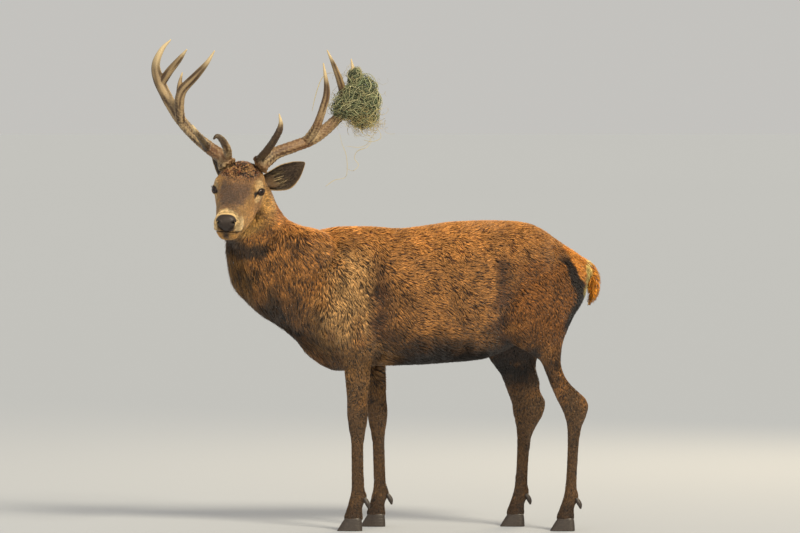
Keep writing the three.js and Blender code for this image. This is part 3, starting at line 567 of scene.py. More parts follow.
# And for the head, in its own frame: [nose-ward, from the middle, up].
HEAD_COMB = [
    [190, 0, 24, -1.0, 0, 0.1, 2.5, 7, 0.8], [120, 0, 32, -1.0, 0, 0.15, 3, 8, 0.9],
    [50, 0, 45, -1.0, 0, 0.3, 3.5, 10, 1.0], [15, 0, 56, -1.0, 0, 0.4, 6, 12, 1.4],
    [-15, 0, 64, -0.6, 0.2, 0.7, 11, 20, 1.9], [-50, 0, 71, -0.3, 0.2, 0.8, 14, 27, 2.1],
    [-40, 50, 62, -0.4, 0.5, 0.6, 10, 18, 2.0], [-90, 0, 68, -1.0, 0, 0.3, 12, 28, 2.0],
    [-120, 20, 50, -1.0, 0, -0.1, 12, 30, 2.1], [215, 42, -25, -1.0, 0.2, 0, 2, 6, 0.7],
    [170, 50, -20, -1.0, 0, 0, 2.5, 7, 0.8], [110, 61, -15, -1.0, 0, -0.05, 3, 9, 0.9],
    [245, 15, -45, -0.3, 1.0, -0.3, 2, 5, 0.7], [60, 70, -50, -1.0, 0, -0.2, 3.5, 10, 1.0],
    [0, 84, -60, -1.0, 0, -0.35, 4.5, 13, 1.1], [-60, 86, -60, -0.8, 0, -0.6, 8, 22, 1.6],
    [10, 78, 28, -1.0, 0, 0.35, 2.5, 7, 0.8], [-40, 78, 30, -1.0, 0, 0.2, 4, 12, 1.1],
    [2, 98, 0, -1.0, 0.2, 0, 1.4, 5, 0.8], [200, 20, -98, -0.9, 0, -0.4, 5, 12, 1.1],
    [130, 30, -117, -0.8, 0, -0.6, 9, 22, 1.4], [90, 55, -112, -0.8, 0.1, -0.6, 9, 24, 1.5],
    [60, 66, -85, -0.9, 0, -0.4, 6, 15, 1.2], [40, 35, -133, -0.8, 0, -0.6, 12, 30, 1.7],
    [-20, 78, -110, -0.8, 0, -0.6, 7, 16, 1.4], [-50, 84, -90, -0.8, 0, -0.6, 8, 18, 1.4],
    [10, 60, -140, -0.7, 0, -0.7, 8, 18, 1.5], [-40, 40, -143, -0.7, 0, -0.7, 17, 42, 2.0],
    [235, 10, -78, -0.5, 0, -0.8, 3, 8, 0.9], [-140, 50, 0, -1.0, 0, -0.3, 13, 32, 2.0],
]
# Colours of the hair, dark near its root and lighter at its tip, and the share of dark locks.
# Some are painted shade rather than hair colour: the folds, the shadow under the jaw and the
# insides of the thighs. The belly is partly painted shade, the rump's edge partly painted light.
HAIR = {
    "flank": ("#472B14", "#B37C40", 0.16), "saddle": ("#653A19", "#CE8E46", 0.14),
    "haunch": ("#44280C", "#9B6228", 0.14), "low flank": ("#28190B", "#6C4720", 0.14),
    # The belly's near black is partly its own dark hair, partly painted shade under the body.
    "belly": ("#0E0906", "#241810", 0.1), "shoulder": ("#4D3820", "#DFAC6C", 0.22),
    # The insides of the thighs are painted shade, near black where the hind legs face each other.
    "shaded thigh inside": ("#1A110B", "#402B1B", 0.1), "forearm": ("#332316", "#986E3D", 0.16),
    "shin": ("#291C13", "#775735", 0.12), "foot": ("#1E140E", "#5C432C", 0.1),
    "neck": ("#4C321A", "#D99347", 0.26), "throat": ("#322312", "#956D3A", 0.26),
    "breast": ("#1C130C", "#523A22", 0.26), "nape": ("#643918", "#F4A854", 0.2),
    # The rump's cream edge: partly its own cream, partly painted light lifting it out of the tail's shade.
    "rump band": ("#0A0602", "#251509", 0.0), "rump edge": ("#CE9E4F", "#FFED97", 0.0),
    "rump patch": ("#AC5F1B", "#E79C40", 0.0), "tail": ("#A35D13", "#F8A836", 0.08),
    "face": ("#72542C", "#AF8346", 0.06), "cheek": ("#78562B", "#C38E4C", 0.08),
    "forehead": ("#3C2B19", "#765233", 0.12), "bridge": ("#594128", "#916A40", 0.06),
    "forelock": ("#5B3D20", "#A97C4B", 0.2), "crown": ("#38200F", "#94602F", 0.3),
    "brow": ("#A5855A", "#DDBB84", 0.0), "tear line": ("#1A110B", "#33241A", 0.0),
    "muzzle": ("#AF905E", "#E4C793", 0.0), "lip": ("#B0793B", "#E6B060", 0.0),
    "lip middle": ("#1C1410", "#3A2A20", 0.0), "jaw": ("#8D6833", "#E1AC5C", 0.06),
    # Painted shadow under the jaw and on the throat just below it.
    "shadow under jaw": ("#241810", "#5A4128", 0.2),
    # Painted shade for the creases in front of the thigh and behind the shoulder.
    "fold_shade": ("#2A1A0E", "#6B4526", 0.25),
}
# Soft-edged patches of it, painted in this order: centre, reach and softness of the edge. On the
# body the centre is [x, distance from the middle, z], and on the head it is in the head's frame.
BODY_PATCHES = [
    ["saddle", [0, 0, 1160], [640, 320, 180], 0.35], ["haunch", [400, 150, 820], [170, 130, 170], 0.4],
    ["low flank", [0, 0, 600], [470, 320, 140], 0.4],
    # The two fold patches paint shade down the creases in front of the thigh and behind the shoulder.
    ["shoulder", [-370, 160, 850], [150, 130, 210], 0.45], ["fold_shade", [225, 170, 800], [30, 90, 230], 0.8],
    # The belly patch: partly the belly's own dark hair, partly painted shade under the body.
    ["fold_shade", [-205, 180, 770], [34, 90, 190], 0.8], ["belly", [60, 0, 565], [420, 330, 112], 0.4],
    # Painted shade over the insides of the thighs, between the hind legs.
    ["shaded thigh inside", [330, 0, 640], [170, 70, 150], 0.3],
    ["forearm", [-260, 120, 560], [140, 130, 120], 0.3], ["shin", [100, 110, 230], [900, 400, 280], 0.2],
    ["foot", [100, 110, 40], [900, 400, 60], 0.3], ["neck", [-620, 60, 950], [250, 300, 270], 0.25],
    ["breast", [-620, 0, 720], [220, 230, 150], 0.4], ["nape", [-450, 40, 1110], [150, 150, 90], 0.4],
    ["throat", [-790, 40, 960], [145, 190, 270], 0.45],
]
# Round the tail a black band, then an orange patch, and a cream strip down the rump's edge: how
# far back the band's middle is, and where the cream begins, by height.
RUMP_BAND = [[700, 455], [751, 475], [786, 490], [817, 501], [854, 507], [886, 500], [925, 480],
             [968, 457], [1000, 440], [1060, 410]]
RUMP_CREAM = [[700, 462], [786, 493], [817, 507], [854, 519], [886, 524], [925, 528], [960, 535],
              [1000, 560]]
BAND_REACH = 17.0
TAIL_PATCH = ["tail", [572, 0, 880], [34, 46, 115], 0.15]
HEAD_PATCHES = [
    ["face", [60, 0, -30], [230, 150, 160], 0.15], ["cheek", [50, 95, -60], [110, 60, 75], 0.4],
    ["jaw", [85, 46, -116], [120, 50, 44], 0.3], ["jaw", [5, 20, -150], [56, 32, 36], 0.3],
    # The two patches of shadow under the jaw: painted shadow beneath the jaw and on the throat below it.
    ["jaw", [-35, 94, -58], [42, 36, 46], 0.45], ["shadow under jaw", [70, 0, -146], [90, 22, 18], 0.4],
    ["shadow under jaw", [0, 30, -236], [60, 80, 34], 0.4], ["bridge", [160, 0, 30], [66, 32, 30], 0.3],
    ["forehead", [74, 0, 44], [96, 72, 50], 0.2], ["forelock", [22, 0, 58], [24, 66, 32], 0.5],
    ["crown", [-54, 0, 74], [74, 92, 50], 0.25],
    ["brow", [8, 80, 24], [30, 20, 17], 0.35], ["brow", [34, 82, -16], [26, 18, 12], 0.3],
    ["tear line", [38, 69, 8], [10, 8, 4.5], 0.3], ["muzzle", [224, 0, 4], [34, 60, 36], 0.25],
    ["muzzle", [208, 46, -30], [38, 26, 27], 0.3], ["lip", [218, 0, -76], [38, 52, 27], 0.25],
    ["lip middle", [243, 2, -62], [28, 10, 20], 0.9], ["tear line", [250, 0, -16], [16, 36, 30], 0.2],
]
SLIT = [[150, -74], [180, -68], [210, -58], [230, -50], [247, -43]]   # mouth, in the head's frame
SLIT_DEPTH = 8.0
LID_OPENING = [19.0, 11.5]       # half the length and half the height of the opened eye
LID_SHIFT = 5.0                  # how far the opening's middle is towards the tear duct
EYE_GAZE = np.array([0.72, 0.64, 0.22])
EYE_CORNER = np.array([0.7, -0.7, -0.12])       # towards the tear duct
NECK_BEND = ([-700, -450], [1, 0])      # share of the neck's sideways bend along the body
FINE_ZONES = [([50, 0, -30], [225, 125, 125]), ([120, 0, -30], [140, 96, 100])]   # in the head's frame
FINEST_REACH = [30, 220]         # round the eye, and how far towards the nose the finest faces begin
FLAT_NORMAL_ROUNDS = 6


def triangles_of(mesh):
    """A mesh's faces as triangles of vertex numbers."""
    mesh.calc_loop_triangles()
    return numbers_of(mesh.loop_triangles, "vertices", 3, np.int32)


def side_pairs(faces):
    """Each pair of points that some triangle joins, once, and which of them each triangle's sides are."""
    pairs, which = np.unique(np.sort(faces[:, [0, 1, 1, 2, 2, 0]].reshape(-1, 2), 1), axis=0,
                             return_inverse=True)
    return pairs, which.reshape(-1, 3)


def normals_of(points, faces):
    """Unit normals at points: the sum of the cross products of the triangles round each."""
    a, b, c = points[faces].transpose(1, 0, 2)
    cross = np.repeat(np.cross(b - a, c - a), 3, axis=0)
    return unit(np.stack([np.bincount(faces.ravel(), cross[:, k], len(points)) for k in range(3)], -1))


def refined(points, faces, chosen):
    """Halve every edge between two chosen points, and split the triangles beside it to suit."""
    pairs, which = side_pairs(faces)
    split = chosen[pairs].all(1)
    middle = np.where(split, np.cumsum(split) - 1 + len(points), -1)[which]
    count = (middle >= 0).sum(1)
    f, m = faces[count == 3], middle[count == 3]
    four = [np.stack([f[:, 0], m[:, 0], m[:, 2]], -1), np.stack([m[:, 0], f[:, 1], m[:, 1]], -1),
            np.stack([m[:, 2], m[:, 1], f[:, 2]], -1), m]
    f, m = faces[count == 1], middle[count == 1]
    turn = (np.argmax(m >= 0, 1)[:, None] + np.arange(3)) % 3
    f, m = np.take_along_axis(f, turn, 1), m.max(1)
    two = [np.stack([f[:, 0], m, f[:, 2]], -1), np.stack([m, f[:, 1], f[:, 2]], -1)]
    return (np.concatenate([points, points[pairs[split]].mean(1)]),
            np.concatenate([faces[count == 0], *four, *two]))


def comb_chart():
    """All three combs as one array on the body's axes: place, direction, depth, length, half width."""
    body_rows, neck, head = (np.array(rows, float) for rows in (BODY_COMB, NECK_COMB, HEAD_COMB))
    z, share = neck[:, :2].T
    throat, nape, centre, width = read_off(z, THROAT, NAPE, NECK_CENTRE, NECK_HALF_WIDTH)
    rows = []
    for side in (-1, 1):
        flip = np.array([1, side, 1])
        beside = centre + side * width * (share == 1)
        place = np.stack([throat + (nape - throat) * share / 2, beside, z], -1)
        rows += [np.hstack([body_rows[:, :3] * flip, body_rows[:, 3:6] * flip, body_rows[:, 6:]]),
                 np.hstack([place, neck[:, 2:]]),
                 np.hstack([on_head(head[:, :3] * flip), (head[:, 3:6] * flip) @ HEAD_AXES, head[:, 6:]])]
    return np.concatenate(rows)


CHART = comb_chart()


def combed(points):
    """Direction, depth, length and half width of the coat: the chart's rows weighed by nearness.

    A row's weight is one over the cube of the squared distance to it.
    """
    near = ((points**2).sum(1)[:, None] + (CHART[:, :3] ** 2).sum(1) - 2 * points @ CHART[:, :3].T)
    weight = (np.maximum(near, 0) + 12.0**2) ** -3.0
    made = weight @ CHART[:, 3:] / weight.sum(1, keepdims=True)
    return made[:, :3], made[:, 3], made[:, 4], made[:, 5]


def blend(first, second, share):
    """The colour a share of the way from the first to the second; either may be a hex code."""
    first, second = (linear(each) if isinstance(each, str) else each for each in (first, second))
    return first + share * (second - first)


def half_head(points):
    """Points in the head's frame, with its right half folded onto the left."""
    m = from_head(points)
    m[:, 1] = np.abs(m[:, 1])
    return m


def bent_middle(points):
    """How far to the side the body's middle is beside each point, as the neck bends."""
    return np.interp(points[:, 0], *NECK_BEND) * through(NECK_CENTRE)(points[:, 2])


def coat_colours(points):
    """Colour of the hair's root and of its tip, and the share of dark locks, at each point.

    Over the flank's, each patch covers what is inside its ellipsoid. Its edge is feathered by its
    softness and made ragged by a mottle.
    """
    ragged = 0.12 * mottle(points, 45, 3) + 0.06 * mottle(points, 14, 4)
    on_body = points.copy()
    on_body[:, 1] = np.abs(points[:, 1] - bent_middle(points))
    covers = [("flank", np.ones(len(points)))]
    for placed_points, patches in ((on_body, BODY_PATCHES), (half_head(points), HEAD_PATCHES),
                                   (on_body, [TAIL_PATCH])):
        for name, centre, reach, softness in patches:
            q = np.sqrt((((placed_points - centre) / reach) ** 2).sum(1)) + ragged * softness * 2.5
            covers.append((name, 1 - ramp(q, 1 - softness, 1 + softness)))
    rear = ramp(points[:, 2], 690, 740) * ramp(points[:, 0], 330, 400)
    behind = points[:, 0] - through(RUMP_BAND)(points[:, 2]) + 40 * ragged
    cream = points[:, 0] - through(RUMP_CREAM)(points[:, 2]) + 25 * ragged
    covers[-1:-1] = [
        ("rump patch", rear * ramp(behind, BAND_REACH - 5, BAND_REACH + 5)),
        # The cream strip along the rump's edge: partly its own cream, partly painted light against the
        # shade.
        ("rump edge", rear * ramp(cream, -4, 5)),
        ("rump band", rear * (1 - ramp(np.abs(behind), BAND_REACH - 4, BAND_REACH + 6))
         * (1 - ramp(points[:, 2], 965, 1000)))]
    root, tip, dark = 0.0, 0.0, 0.0
    for name, cover in covers:
        under, over, share = HAIR[name]
        cover = cover[:, None]
        root, tip, dark = blend(root, under, cover), blend(tip, over, cover), blend(dark, share, cover)
    return root, tip, dark[:, 0]


[EAR_RINGS, EAR_ARC] = [56, 30]
EAR_LENGTH = 176.0
EAR_HALF_WIDTH = 47.0
EAR_SWEEP = 16.0                 # how far its middle bows to one side
EAR_SPREAD = [[-0.15, 0.42], [0, 0.5], [0.25, 0.82], [0.5, 1], [0.75, 0.74], [0.92, 0.34], [1, 0.08]]
EAR_DEPTH = [[-0.15, 22], [0, 24], [0.3, 27], [0.6, 20], [1, 3]]
EARS = {
    "left": (on_head([-95, 62, -18]), np.array([-479.0, -130.0, 1321.0]), np.array([0.2, -1.0, -0.1])),
    "right": (on_head([-95, -62, -18]), np.array([-821.0, 10.0, 1368.0]), np.array([-1.0, -0.35, 0.0])),
}


def ear_points(base, tip, opening, along_share, round_share, inset):
    """A cupped ear: a crescent section carried from its base to its tip.

    round_share runs from -1 to 1 across the back of the cup, and inset is how far inside the
    outer face a point is. The section's width and depth follow two curves.
    """
    along = unit(tip - base)
    cup = unit(opening - along * (opening @ along))
    t = np.asarray(along_share, float)
    spread, deep = read_off(t, EAR_SPREAD, EAR_DEPTH)
    bend = round_share * np.pi / 2
    sideways = ((EAR_HALF_WIDTH * spread - inset) * np.sin(bend)
                + EAR_SWEEP * np.sin(np.pi * np.clip(t, 0, 1)))
    inwards = -(deep - inset) * np.cos(bend)
    return (base + (t * EAR_LENGTH)[..., None] * along + sideways[..., None] * np.cross(along, cup)
            + inwards[..., None] * cup)


def ear_thickness(t, a):
    """Cartilage with its short coat: thickest low down in the middle, thin at the rim and the tip."""
    return np.minimum(1.4 + 3.6 * (1 - a**2) * (1 - 0.6 * t), 3 + 14 * np.clip(1 - t, 0, 1))


def ear_rings(base, tip, opening):
    """Rings of an ear: out over its back and in again over its hollow, thinner at the rim and tip."""
    t = np.linspace(-0.12, 1, EAR_RINGS)[:, None]
    a = np.linspace(-1, 1, EAR_ARC)[None, :]
    thick = ear_thickness(t, a)
    ridges = 0.8 * np.cos(9 * a) * ramp(t, 0.05, 0.3) * (1 - ramp(t, 0.75, 0.95)) * (1 - a**2)
    back = ear_points(base, tip, opening, t + 0 * a, a + 0 * t, 0 * (t + a) + 1.5)
    hollow = ear_points(base, tip, opening, t + 0 * a, a * 0.97 + 0 * t, thick + ridges + 1.5)
    return np.concatenate([back, hollow[:, ::-1]], axis=1)


# Forms of the face over its plain loft: height, middle and reach in the head's frame.
FACE_FORMS = [
    [3.5, 24, 84, -30, 38, 26, 11],      # cheekbone
    [-5.0, 52, 68, -10, 30, 24, 16],     # hollow before the eye
    [-2.5, -34, 86, 6, 18, 22, 14],      # temple
    [3.0, -45, 90, -66, 44, 26, 40],     # chewing muscle
    [-2.0, 120, 40, 18, 50, 14, 12],     # beside the bridge of the nose
    [1.5, 120, 14, 34, 60, 12, 14],      # the bridge
    [-2.0, 40, 0, 52, 46, 12, 20],       # furrow of the forehead
    [3.5, 226, 36, -14, 16, 14, 15],     # wing of the nostril
    [2.5, 206, 46, -48, 24, 20, 17],     # upper lip
    [2.0, 222, 26, -86, 22, 22, 14],     # lower lip
]


def face_relief(points):
    """Height of the face over its loft: soft spots, the slit of the mouth and the step under it."""
    m = half_head(points)
    height = sum(rise * blot(m, spot[:3], spot[3:]) for rise, *spot in FACE_FORMS)
    drop = m[:, 2] - through(SLIT)(m[:, 0])
    lipped = ramp(m[:, 0], 140, 175)
    height -= lipped * SLIT_DEPTH * np.exp(-((drop / 2.8) ** 2))
    return height - lipped * 2.5 * ramp(-drop, 0, 5) * ramp(drop, -24, -8)


gaze = unit(EYE_GAZE)
corner = unit(EYE_CORNER - gaze * (EYE_CORNER @ gaze))
EYE_AXES = np.array([gaze, corner, np.cross(corner, gaze)])
EYE_ARC = 17.0                   # radius over which the lids' opening is measured


def eye_opening(points):
    """How far a point is out from the middle of the opened eye, 1 on the lids' edge, and its radius.

    Distances along and across the opening are measured over the eyeball. The opening is an
    ellipse drawn out to a point at the tear duct.
    """
    v = half_head(points) - EYE
    radius = np.linalg.norm(v, axis=1)
    x, a, b = (v @ EYE_AXES.T).T
    length, height = EYE_ARC * np.arctan2(a, x), EYE_ARC * np.arctan2(b, x)
    height = height / (1 - 0.45 * ramp(length, 6, 24))
    q = np.hypot((length - LID_SHIFT) / LID_OPENING[0], height / LID_OPENING[1])
    return np.where((x > -4) & (radius < 45), q, 9.0), radius


def lidded(points):
    """The hide drawn over the eyeball to the lids' edge and tucked in behind it, lid by lid."""
    q, radius = eye_opening(points)
    wanted = (15.6 + 3.0 * ramp(q, 0.78, 1.06) + 0.9 * ramp(q, 1.06, 1.3)
              - 0.8 * np.exp(-((q - 1.9) / 0.25) ** 2))
    moved = wanted + ramp(q, 1.2, 2.1) * (np.maximum(radius, wanted) - wanted)
    side = np.sign(from_head(points)[:, 1])[:, None]
    centre = on_head(EYE * np.hstack([np.ones_like(side), side, np.ones_like(side)]))
    near = (1 - ramp(q, 2.2, 3.0))[:, None] * (radius < 40)[:, None]
    return points + near * (centre + (points - centre) * (moved / np.maximum(radius, 1))[:, None] - points)


NOSE = np.array([230.0, 0.0, -16.0])
NOSE_RADII = np.array([24.0, 38.0, 32.0])
NOSE_CORNERS = 2.6               # how square the pad's upper half is


def nose_narrowing(up):
    """The pad's width, as a share of its widest, at a height above its middle."""
    return 1 - 0.6 * ramp(-up, -8, 36)


def nose_outline(m):
    """How far out from the middle of the nose pad a point in the head's frame is, 1 on its edge.

    Seen from in front the pad is a superellipse, square above and narrowing to the lip.
    """
    up = m[:, 2] - NOSE[2]
    across = np.abs(m[:, 1] / (NOSE_RADII[1] * nose_narrowing(up)))
    power = np.where(up > 0, NOSE_CORNERS, 2.0)
    return (across**power + np.abs(up / NOSE_RADII[2]) ** power) ** (1 / power)


hide, faces = vertices_of(body), triangles_of(body)
m = from_head(hide)
for middle, reach in FINE_ZONES:
    near = np.linalg.norm((from_head(hide) - middle) / reach, axis=1) < 1
    hide, faces = refined(hide, faces, near)
m = from_head(hide)
near = (np.linalg.norm(np.abs(m) - EYE, axis=1) < FINEST_REACH[0]) | (m[:, 0] > FINEST_REACH[1])
hide, faces = refined(hide, faces, near)
edges = side_pairs(faces)[0]
m = from_head(hide)
on_face = ramp(-np.linalg.norm((m - [60, 0, -30]) / [215, 120, 120], axis=1), -1.05, -0.9)
hide = smoothed(hide, edges, on_face, 10)
depth = combed(hide)[1]
normals = normals_of(hide, faces)
for _ in range(FLAT_NORMAL_ROUNDS):
    normals = neighbour_mean(normals, edges)
normals = unit(normals)
hide = smoothed(hide - normals * depth[:, None], edges, np.full(len(hide), 0.8), 4)
hide = hide + normals * (face_relief(hide) * on_face)[:, None]
m = from_head(hide)
sunk = 18 * (1 - ramp(nose_outline(m), 0.55, 0.92)) * ramp(m[:, 0], 200, 222)
hide = lidded(hide - HEAD_FORWARD * sunk[:, None])
hide_normals = normals_of(hide, faces)
tips = hide + hide_normals * depth[:, None]
skin_points, skin_faces = gathered([(hide, faces)] + [lofted(ear_rings(*EARS[name])) for name in EARS])

root, tip, dark = coat_colours(skin_points)
m = from_head(skin_points)
lips = np.exp(-(((m[:, 2] - through(SLIT)(m[:, 0])) / 3.2) ** 2)) * ramp(m[:, 0], 150, 180)
bare = np.maximum(1 - ramp(eye_opening(skin_points)[0], 1.1, 1.35), lips)[:, None]
shown = blend(root * 0.55 + tip * 0.45, "#17100C", bare)
# An ear is tawny outside with a pale rim, and nearly black inside.
along, round_share = np.meshgrid(np.linspace(-0.12, 1, EAR_RINGS), np.linspace(-1, 1, EAR_ARC),
                                 indexing="ij")
rim = ramp(np.maximum(np.abs(round_share), along), 0.8, 0.97)[..., None]
ear_shown = np.concatenate([blend("#6B5640", "#A78A60", rim), blend("#20160F", "#7E6848", rim)[:, ::-1]],
                           axis=1).reshape(-1, 3)
ear_shown = np.concatenate([ear_shown, ear_shown[:1], ear_shown[-1:]])
shown[len(hide):] = np.concatenate([ear_shown, ear_shown])
skin = mesh_object("skin", in_place(skin_points), skin_faces, coat_colour=shown)


def marked_material(name, attribute, grain, shades, relief, strands=None, **surface):
    """A material coloured by a mesh attribute, times a noise that also gives its relief.

    grain is the size of its marks in millimetres and their detail, shades the darkest and the
    lightest it makes the colour, and relief how strong and, in metres, how deep it is. Where
    strands is given the noise is drawn out by it along the attribute named hair instead.
    """
    made, tree, shader = new_material(name, **surface)
    if strands:
        lie = add_node(tree, "ShaderNodeAttribute", attribute_name="hair").outputs["Vector"]
        vector, scale = add_node(tree, "ShaderNodeMapping", {"Vector": lie, "Scale": strands}), 1.0
    else:
        vector, scale = add_node(tree, "ShaderNodeTexCoord").outputs["Object"], 1 / (grain[0] * MM)
    colour = add_node(tree, "ShaderNodeAttribute", attribute_name=attribute)
    noise = add_node(tree, "ShaderNodeTexNoise", {"Vector": vector, "Scale": scale, "Detail": grain[1]})
    shade = add_node(tree, "ShaderNodeMapRange", {"Value": noise, "From Min": 0.3, "From Max": 0.7,
                                                  "To Min": shades[0], "To Max": shades[1]})
    feed(shader, {"Base Color": add_node(tree, "ShaderNodeVectorMath", {0: colour, 1: shade},
                                         operation="MULTIPLY")})
    if relief:
        feed(shader, {"Normal": add_node(tree, "ShaderNodeBump", {"Height": noise, "Strength": relief[0],
                                                                  "Distance": relief[1]})})
    return made


# Hide with the short under-coat on it: dull, faintly downy, its nap too fine to see but for a grain.
NAP = 1.6                        # millimetres between the marks of the under-coat
skin.data.materials.append(marked_material(
    "downy_deer_hide", "coat_colour", (NAP, 3.0), (0.7, 1.25), (0.5, 0.0008), Roughness=0.75,
    Sheen_Weight=0.15, Specular_IOR_Level=0.25))
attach(skin, "root")
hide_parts("trunk", "neck", "head", "tail", "ear_left", "ear_right",
            "foreleg_left", "foreleg_right", "hindleg_left", "hindleg_right")

# ------------------------------------------------------------------ coat
# Overlapping flattened locks of guard hair, rooted in the hide and lying as it is combed, long on
# the neck and breast and very short on the face and legs. Each is a thin spindle of six faces.
rng = np.random.default_rng(7)
LOCKS_OVER_EACH_PLACE = 4.0
LOCK_SHARE = {"leg": 0.7, "neck": 1.35, "head": 0.85}     # more where they are loose, fewer where short
CLUMP = 19.0                     # millimetres across a group of locks that lean together
LOCKS_IN_A_PIECE = 33000
LOCK_CORNERS = np.array([[4, 1, 2], [4, 2, 3], [4, 3, 1], [0, 2, 1], [0, 3, 2], [0, 1, 3]])
LOCK_ACROSS = np.array([0.5, 1.0, 0.5, 0.0, 0.5])
LOCK_ALONG = np.array([0.0, 0.45, 0.45, 0.45, 1.0])
PATCH = 0.0015                   # half of one lock's patch on the bake map

# Guard hair: each lock a sheaf of hairs, satiny along their length, darker towards the root.
hair_material = marked_material(
    "deer_guard_hair", "coat_colour", (None, 2.0), (0.72, 1.25), (0.4, 0.0008),
    strands=(7.0, 0.8, 40.0), Roughness=0.58, Sheen_Weight=0.12, Specular_IOR_Level=0.3)


def locks(name, root, middle, end, normal, half, root_colour, tip_colour, unwrap, slot="coat"):
    """One coat piece of spindles, each from a root through a middle to an end point.

    Each has a point at its root and its end, and a three-cornered ring between, flat side down.
    unwrap is the root's place on the hide laid flat, within 0 to 1 both ways.
    """
    count = len(root)
    across = unit(np.cross(normal, end - root))
    h = half[:, None]
    ring = [middle + across * h - normal * h * 0.12, middle + normal * h * 0.45,
            middle - across * h - normal * h * 0.12]
    points = np.stack([root, *ring, end], 1).reshape(-1, 3)
    faces = (LOCK_CORNERS[None] + 5 * np.arange(count)[:, None, None]).reshape(-1, 3)
    body_colour = root_colour * 0.45 + tip_colour * 0.55
    colours = np.stack([root_colour, body_colour, body_colour, body_colour, tip_colour], 1).reshape(-1, 3)
    own = rng.uniform(0, 1, count)
    hair = np.stack([np.tile(LOCK_ACROSS, count), np.tile(LOCK_ALONG, count), np.repeat(own, 5)], -1)
    made = mesh_object(name, in_place(points), faces, hair=hair, coat_colour=colours)
    layer = made.data.uv_layers.new(name="OFBake")
    spread = np.stack([LOCK_ACROSS * 2 - 1, LOCK_ALONG * 2 - 1], -1) * PATCH
    corners = (np.clip(unwrap, 0.002, 0.998)[:, None] + spread).reshape(-1, 2)[faces.ravel()]
    layer.data.foreach_set("uv", corners.astype(np.float32).ravel())
    made.data.materials.append(hair_material)
    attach(made, "root")


def laid_on(surface, points):
    """Points moved to the nearest place on a surface."""
    loose = bpy.data.meshes.new("guides")
    loose.vertices.add(len(points))
    loose.vertices.foreach_set("co", in_place(points).astype(np.float32).ravel())
    holder = placed("guides", loose)
    wrap = holder.modifiers.new("lay", "SHRINKWRAP")
    wrap.target, wrap.wrap_method = surface, "NEAREST_SURFACEPOINT"
    made = vertices_of(holder.evaluated_get(bpy.context.evaluated_depsgraph_get()).to_mesh())
    bpy.data.objects.remove(holder)
    return made


def clumps(points, size):
    """The middle of the jittered cell that each point falls in, and one random number for the cell."""
    jitter = np.stack([mottle(points, 3 * size, seed) for seed in (21, 22, 23)], -1)
    cells = np.floor(points / size + 0.35 * jitter)
    _, which = np.unique(cells.astype(int), axis=0, return_inverse=True)
    which = which.ravel()
    count = which.max() + 1
    total = np.bincount(which, minlength=count)[:, None]
    middle = np.stack([np.bincount(which, points[:, k], count) for k in range(3)], -1) / total
    return middle[which], rng.uniform(-1, 1, count)[which]


def unrolled(points, start, finish):
    """Share of the way along a line, and turn about it, each spread over 0 to 1."""
    axis = unit(np.subtract(finish, start))
    off = points - start
    first = unit(np.cross(axis, [0.0, 1.0, 0.13]))
    both = np.stack([off @ axis, np.arctan2(off @ np.cross(axis, first), off @ first)], -1)
    low, high = both.min(0), both.max(0)
    return (both - low) / (high - low)


hide_shape = mesh_object("hide_shape", in_place(hide), faces)
tip_shape = mesh_object("tip_shape", in_place(tips), faces)
centre = hide[faces].mean(1)
a, b, c = hide[faces].transpose(1, 0, 2)
area = np.linalg.norm(np.cross(b - a, c - a), axis=1) / 2
long, half = combed(centre)[2:]
m = from_head(centre)
level = through(HEAD_WIDEST)(m[:, 0])
reach_up = np.where(m[:, 2] > level, through(HEAD_TOP)(m[:, 0]) - level,
                    level - through(HEAD_UNDER)(m[:, 0]))
section = np.hypot(m[:, 1] / through(HEAD_HALF_WIDTH)(m[:, 0]), (m[:, 2] - level) / reach_up)
lips = (np.abs(m[:, 2] - through(SLIT)(m[:, 0])) < 2.2) & (m[:, 0] > 185)
hairless = (eye_opening(centre)[0] < 1.25) | ((nose_outline(m) < 0.97) & (m[:, 0] > 205)) | lips
left = centre[:, 1] < bent_middle(centre)
is_head = (m[:, 0] > -135) & (section < 1.22)
is_tail = (centre[:, 0] > 545) | (np.hypot(centre[:, 1], centre[:, 0] - 556) < 34) & (centre[:, 2] > 790)
is_leg = centre[:, 2] < 600
is_neck = (centre[:, 0] < -430) & ~is_head & ~is_leg
hind = centre[:, 0] > 60
rest = ~(is_head | is_tail | is_leg | is_neck)
TRUNK_LINE = ([-560, 0, 860], [560, 0, 900])
NECK_LINE = ([-560, -10, 640], [-690, -120, 1280])
HEAD_LINE = (on_head([-150, 0, -30]), on_head([250, 0, -40]))
COAT = {
    "coat_shoulder_left": (rest & left & ~hind, TRUNK_LINE),
    "coat_haunch_left": (rest & left & hind, TRUNK_LINE),
    "coat_shoulder_right": (rest & ~left & ~hind, TRUNK_LINE),
    "coat_haunch_right": (rest & ~left & hind, TRUNK_LINE),
    "coat_neck_left": (is_neck & left, NECK_LINE), "coat_neck_right": (is_neck & ~left, NECK_LINE),
    "coat_foreleg_left": (is_leg & left & ~hind, ([-300, -111, 600], [-300, -111, 40])),
    "coat_foreleg_right": (is_leg & ~left & ~hind, ([-225, 111, 600], [-225, 111, 40])),
    "coat_hindleg_left": (is_leg & left & hind, ([420, -115, 600], [465, -115, 40])),
    "coat_hindleg_right": (is_leg & ~left & hind, ([280, 115, 600], [290, 115, 40])),
    "coat_tail": (is_tail & ~is_leg, ([540, 0, 980], [545, 0, 790])),
    "coat_head_left": (is_head & (m[:, 1] > 0), HEAD_LINE),
    "coat_head_right": (is_head & (m[:, 1] <= 0), HEAD_LINE),
}
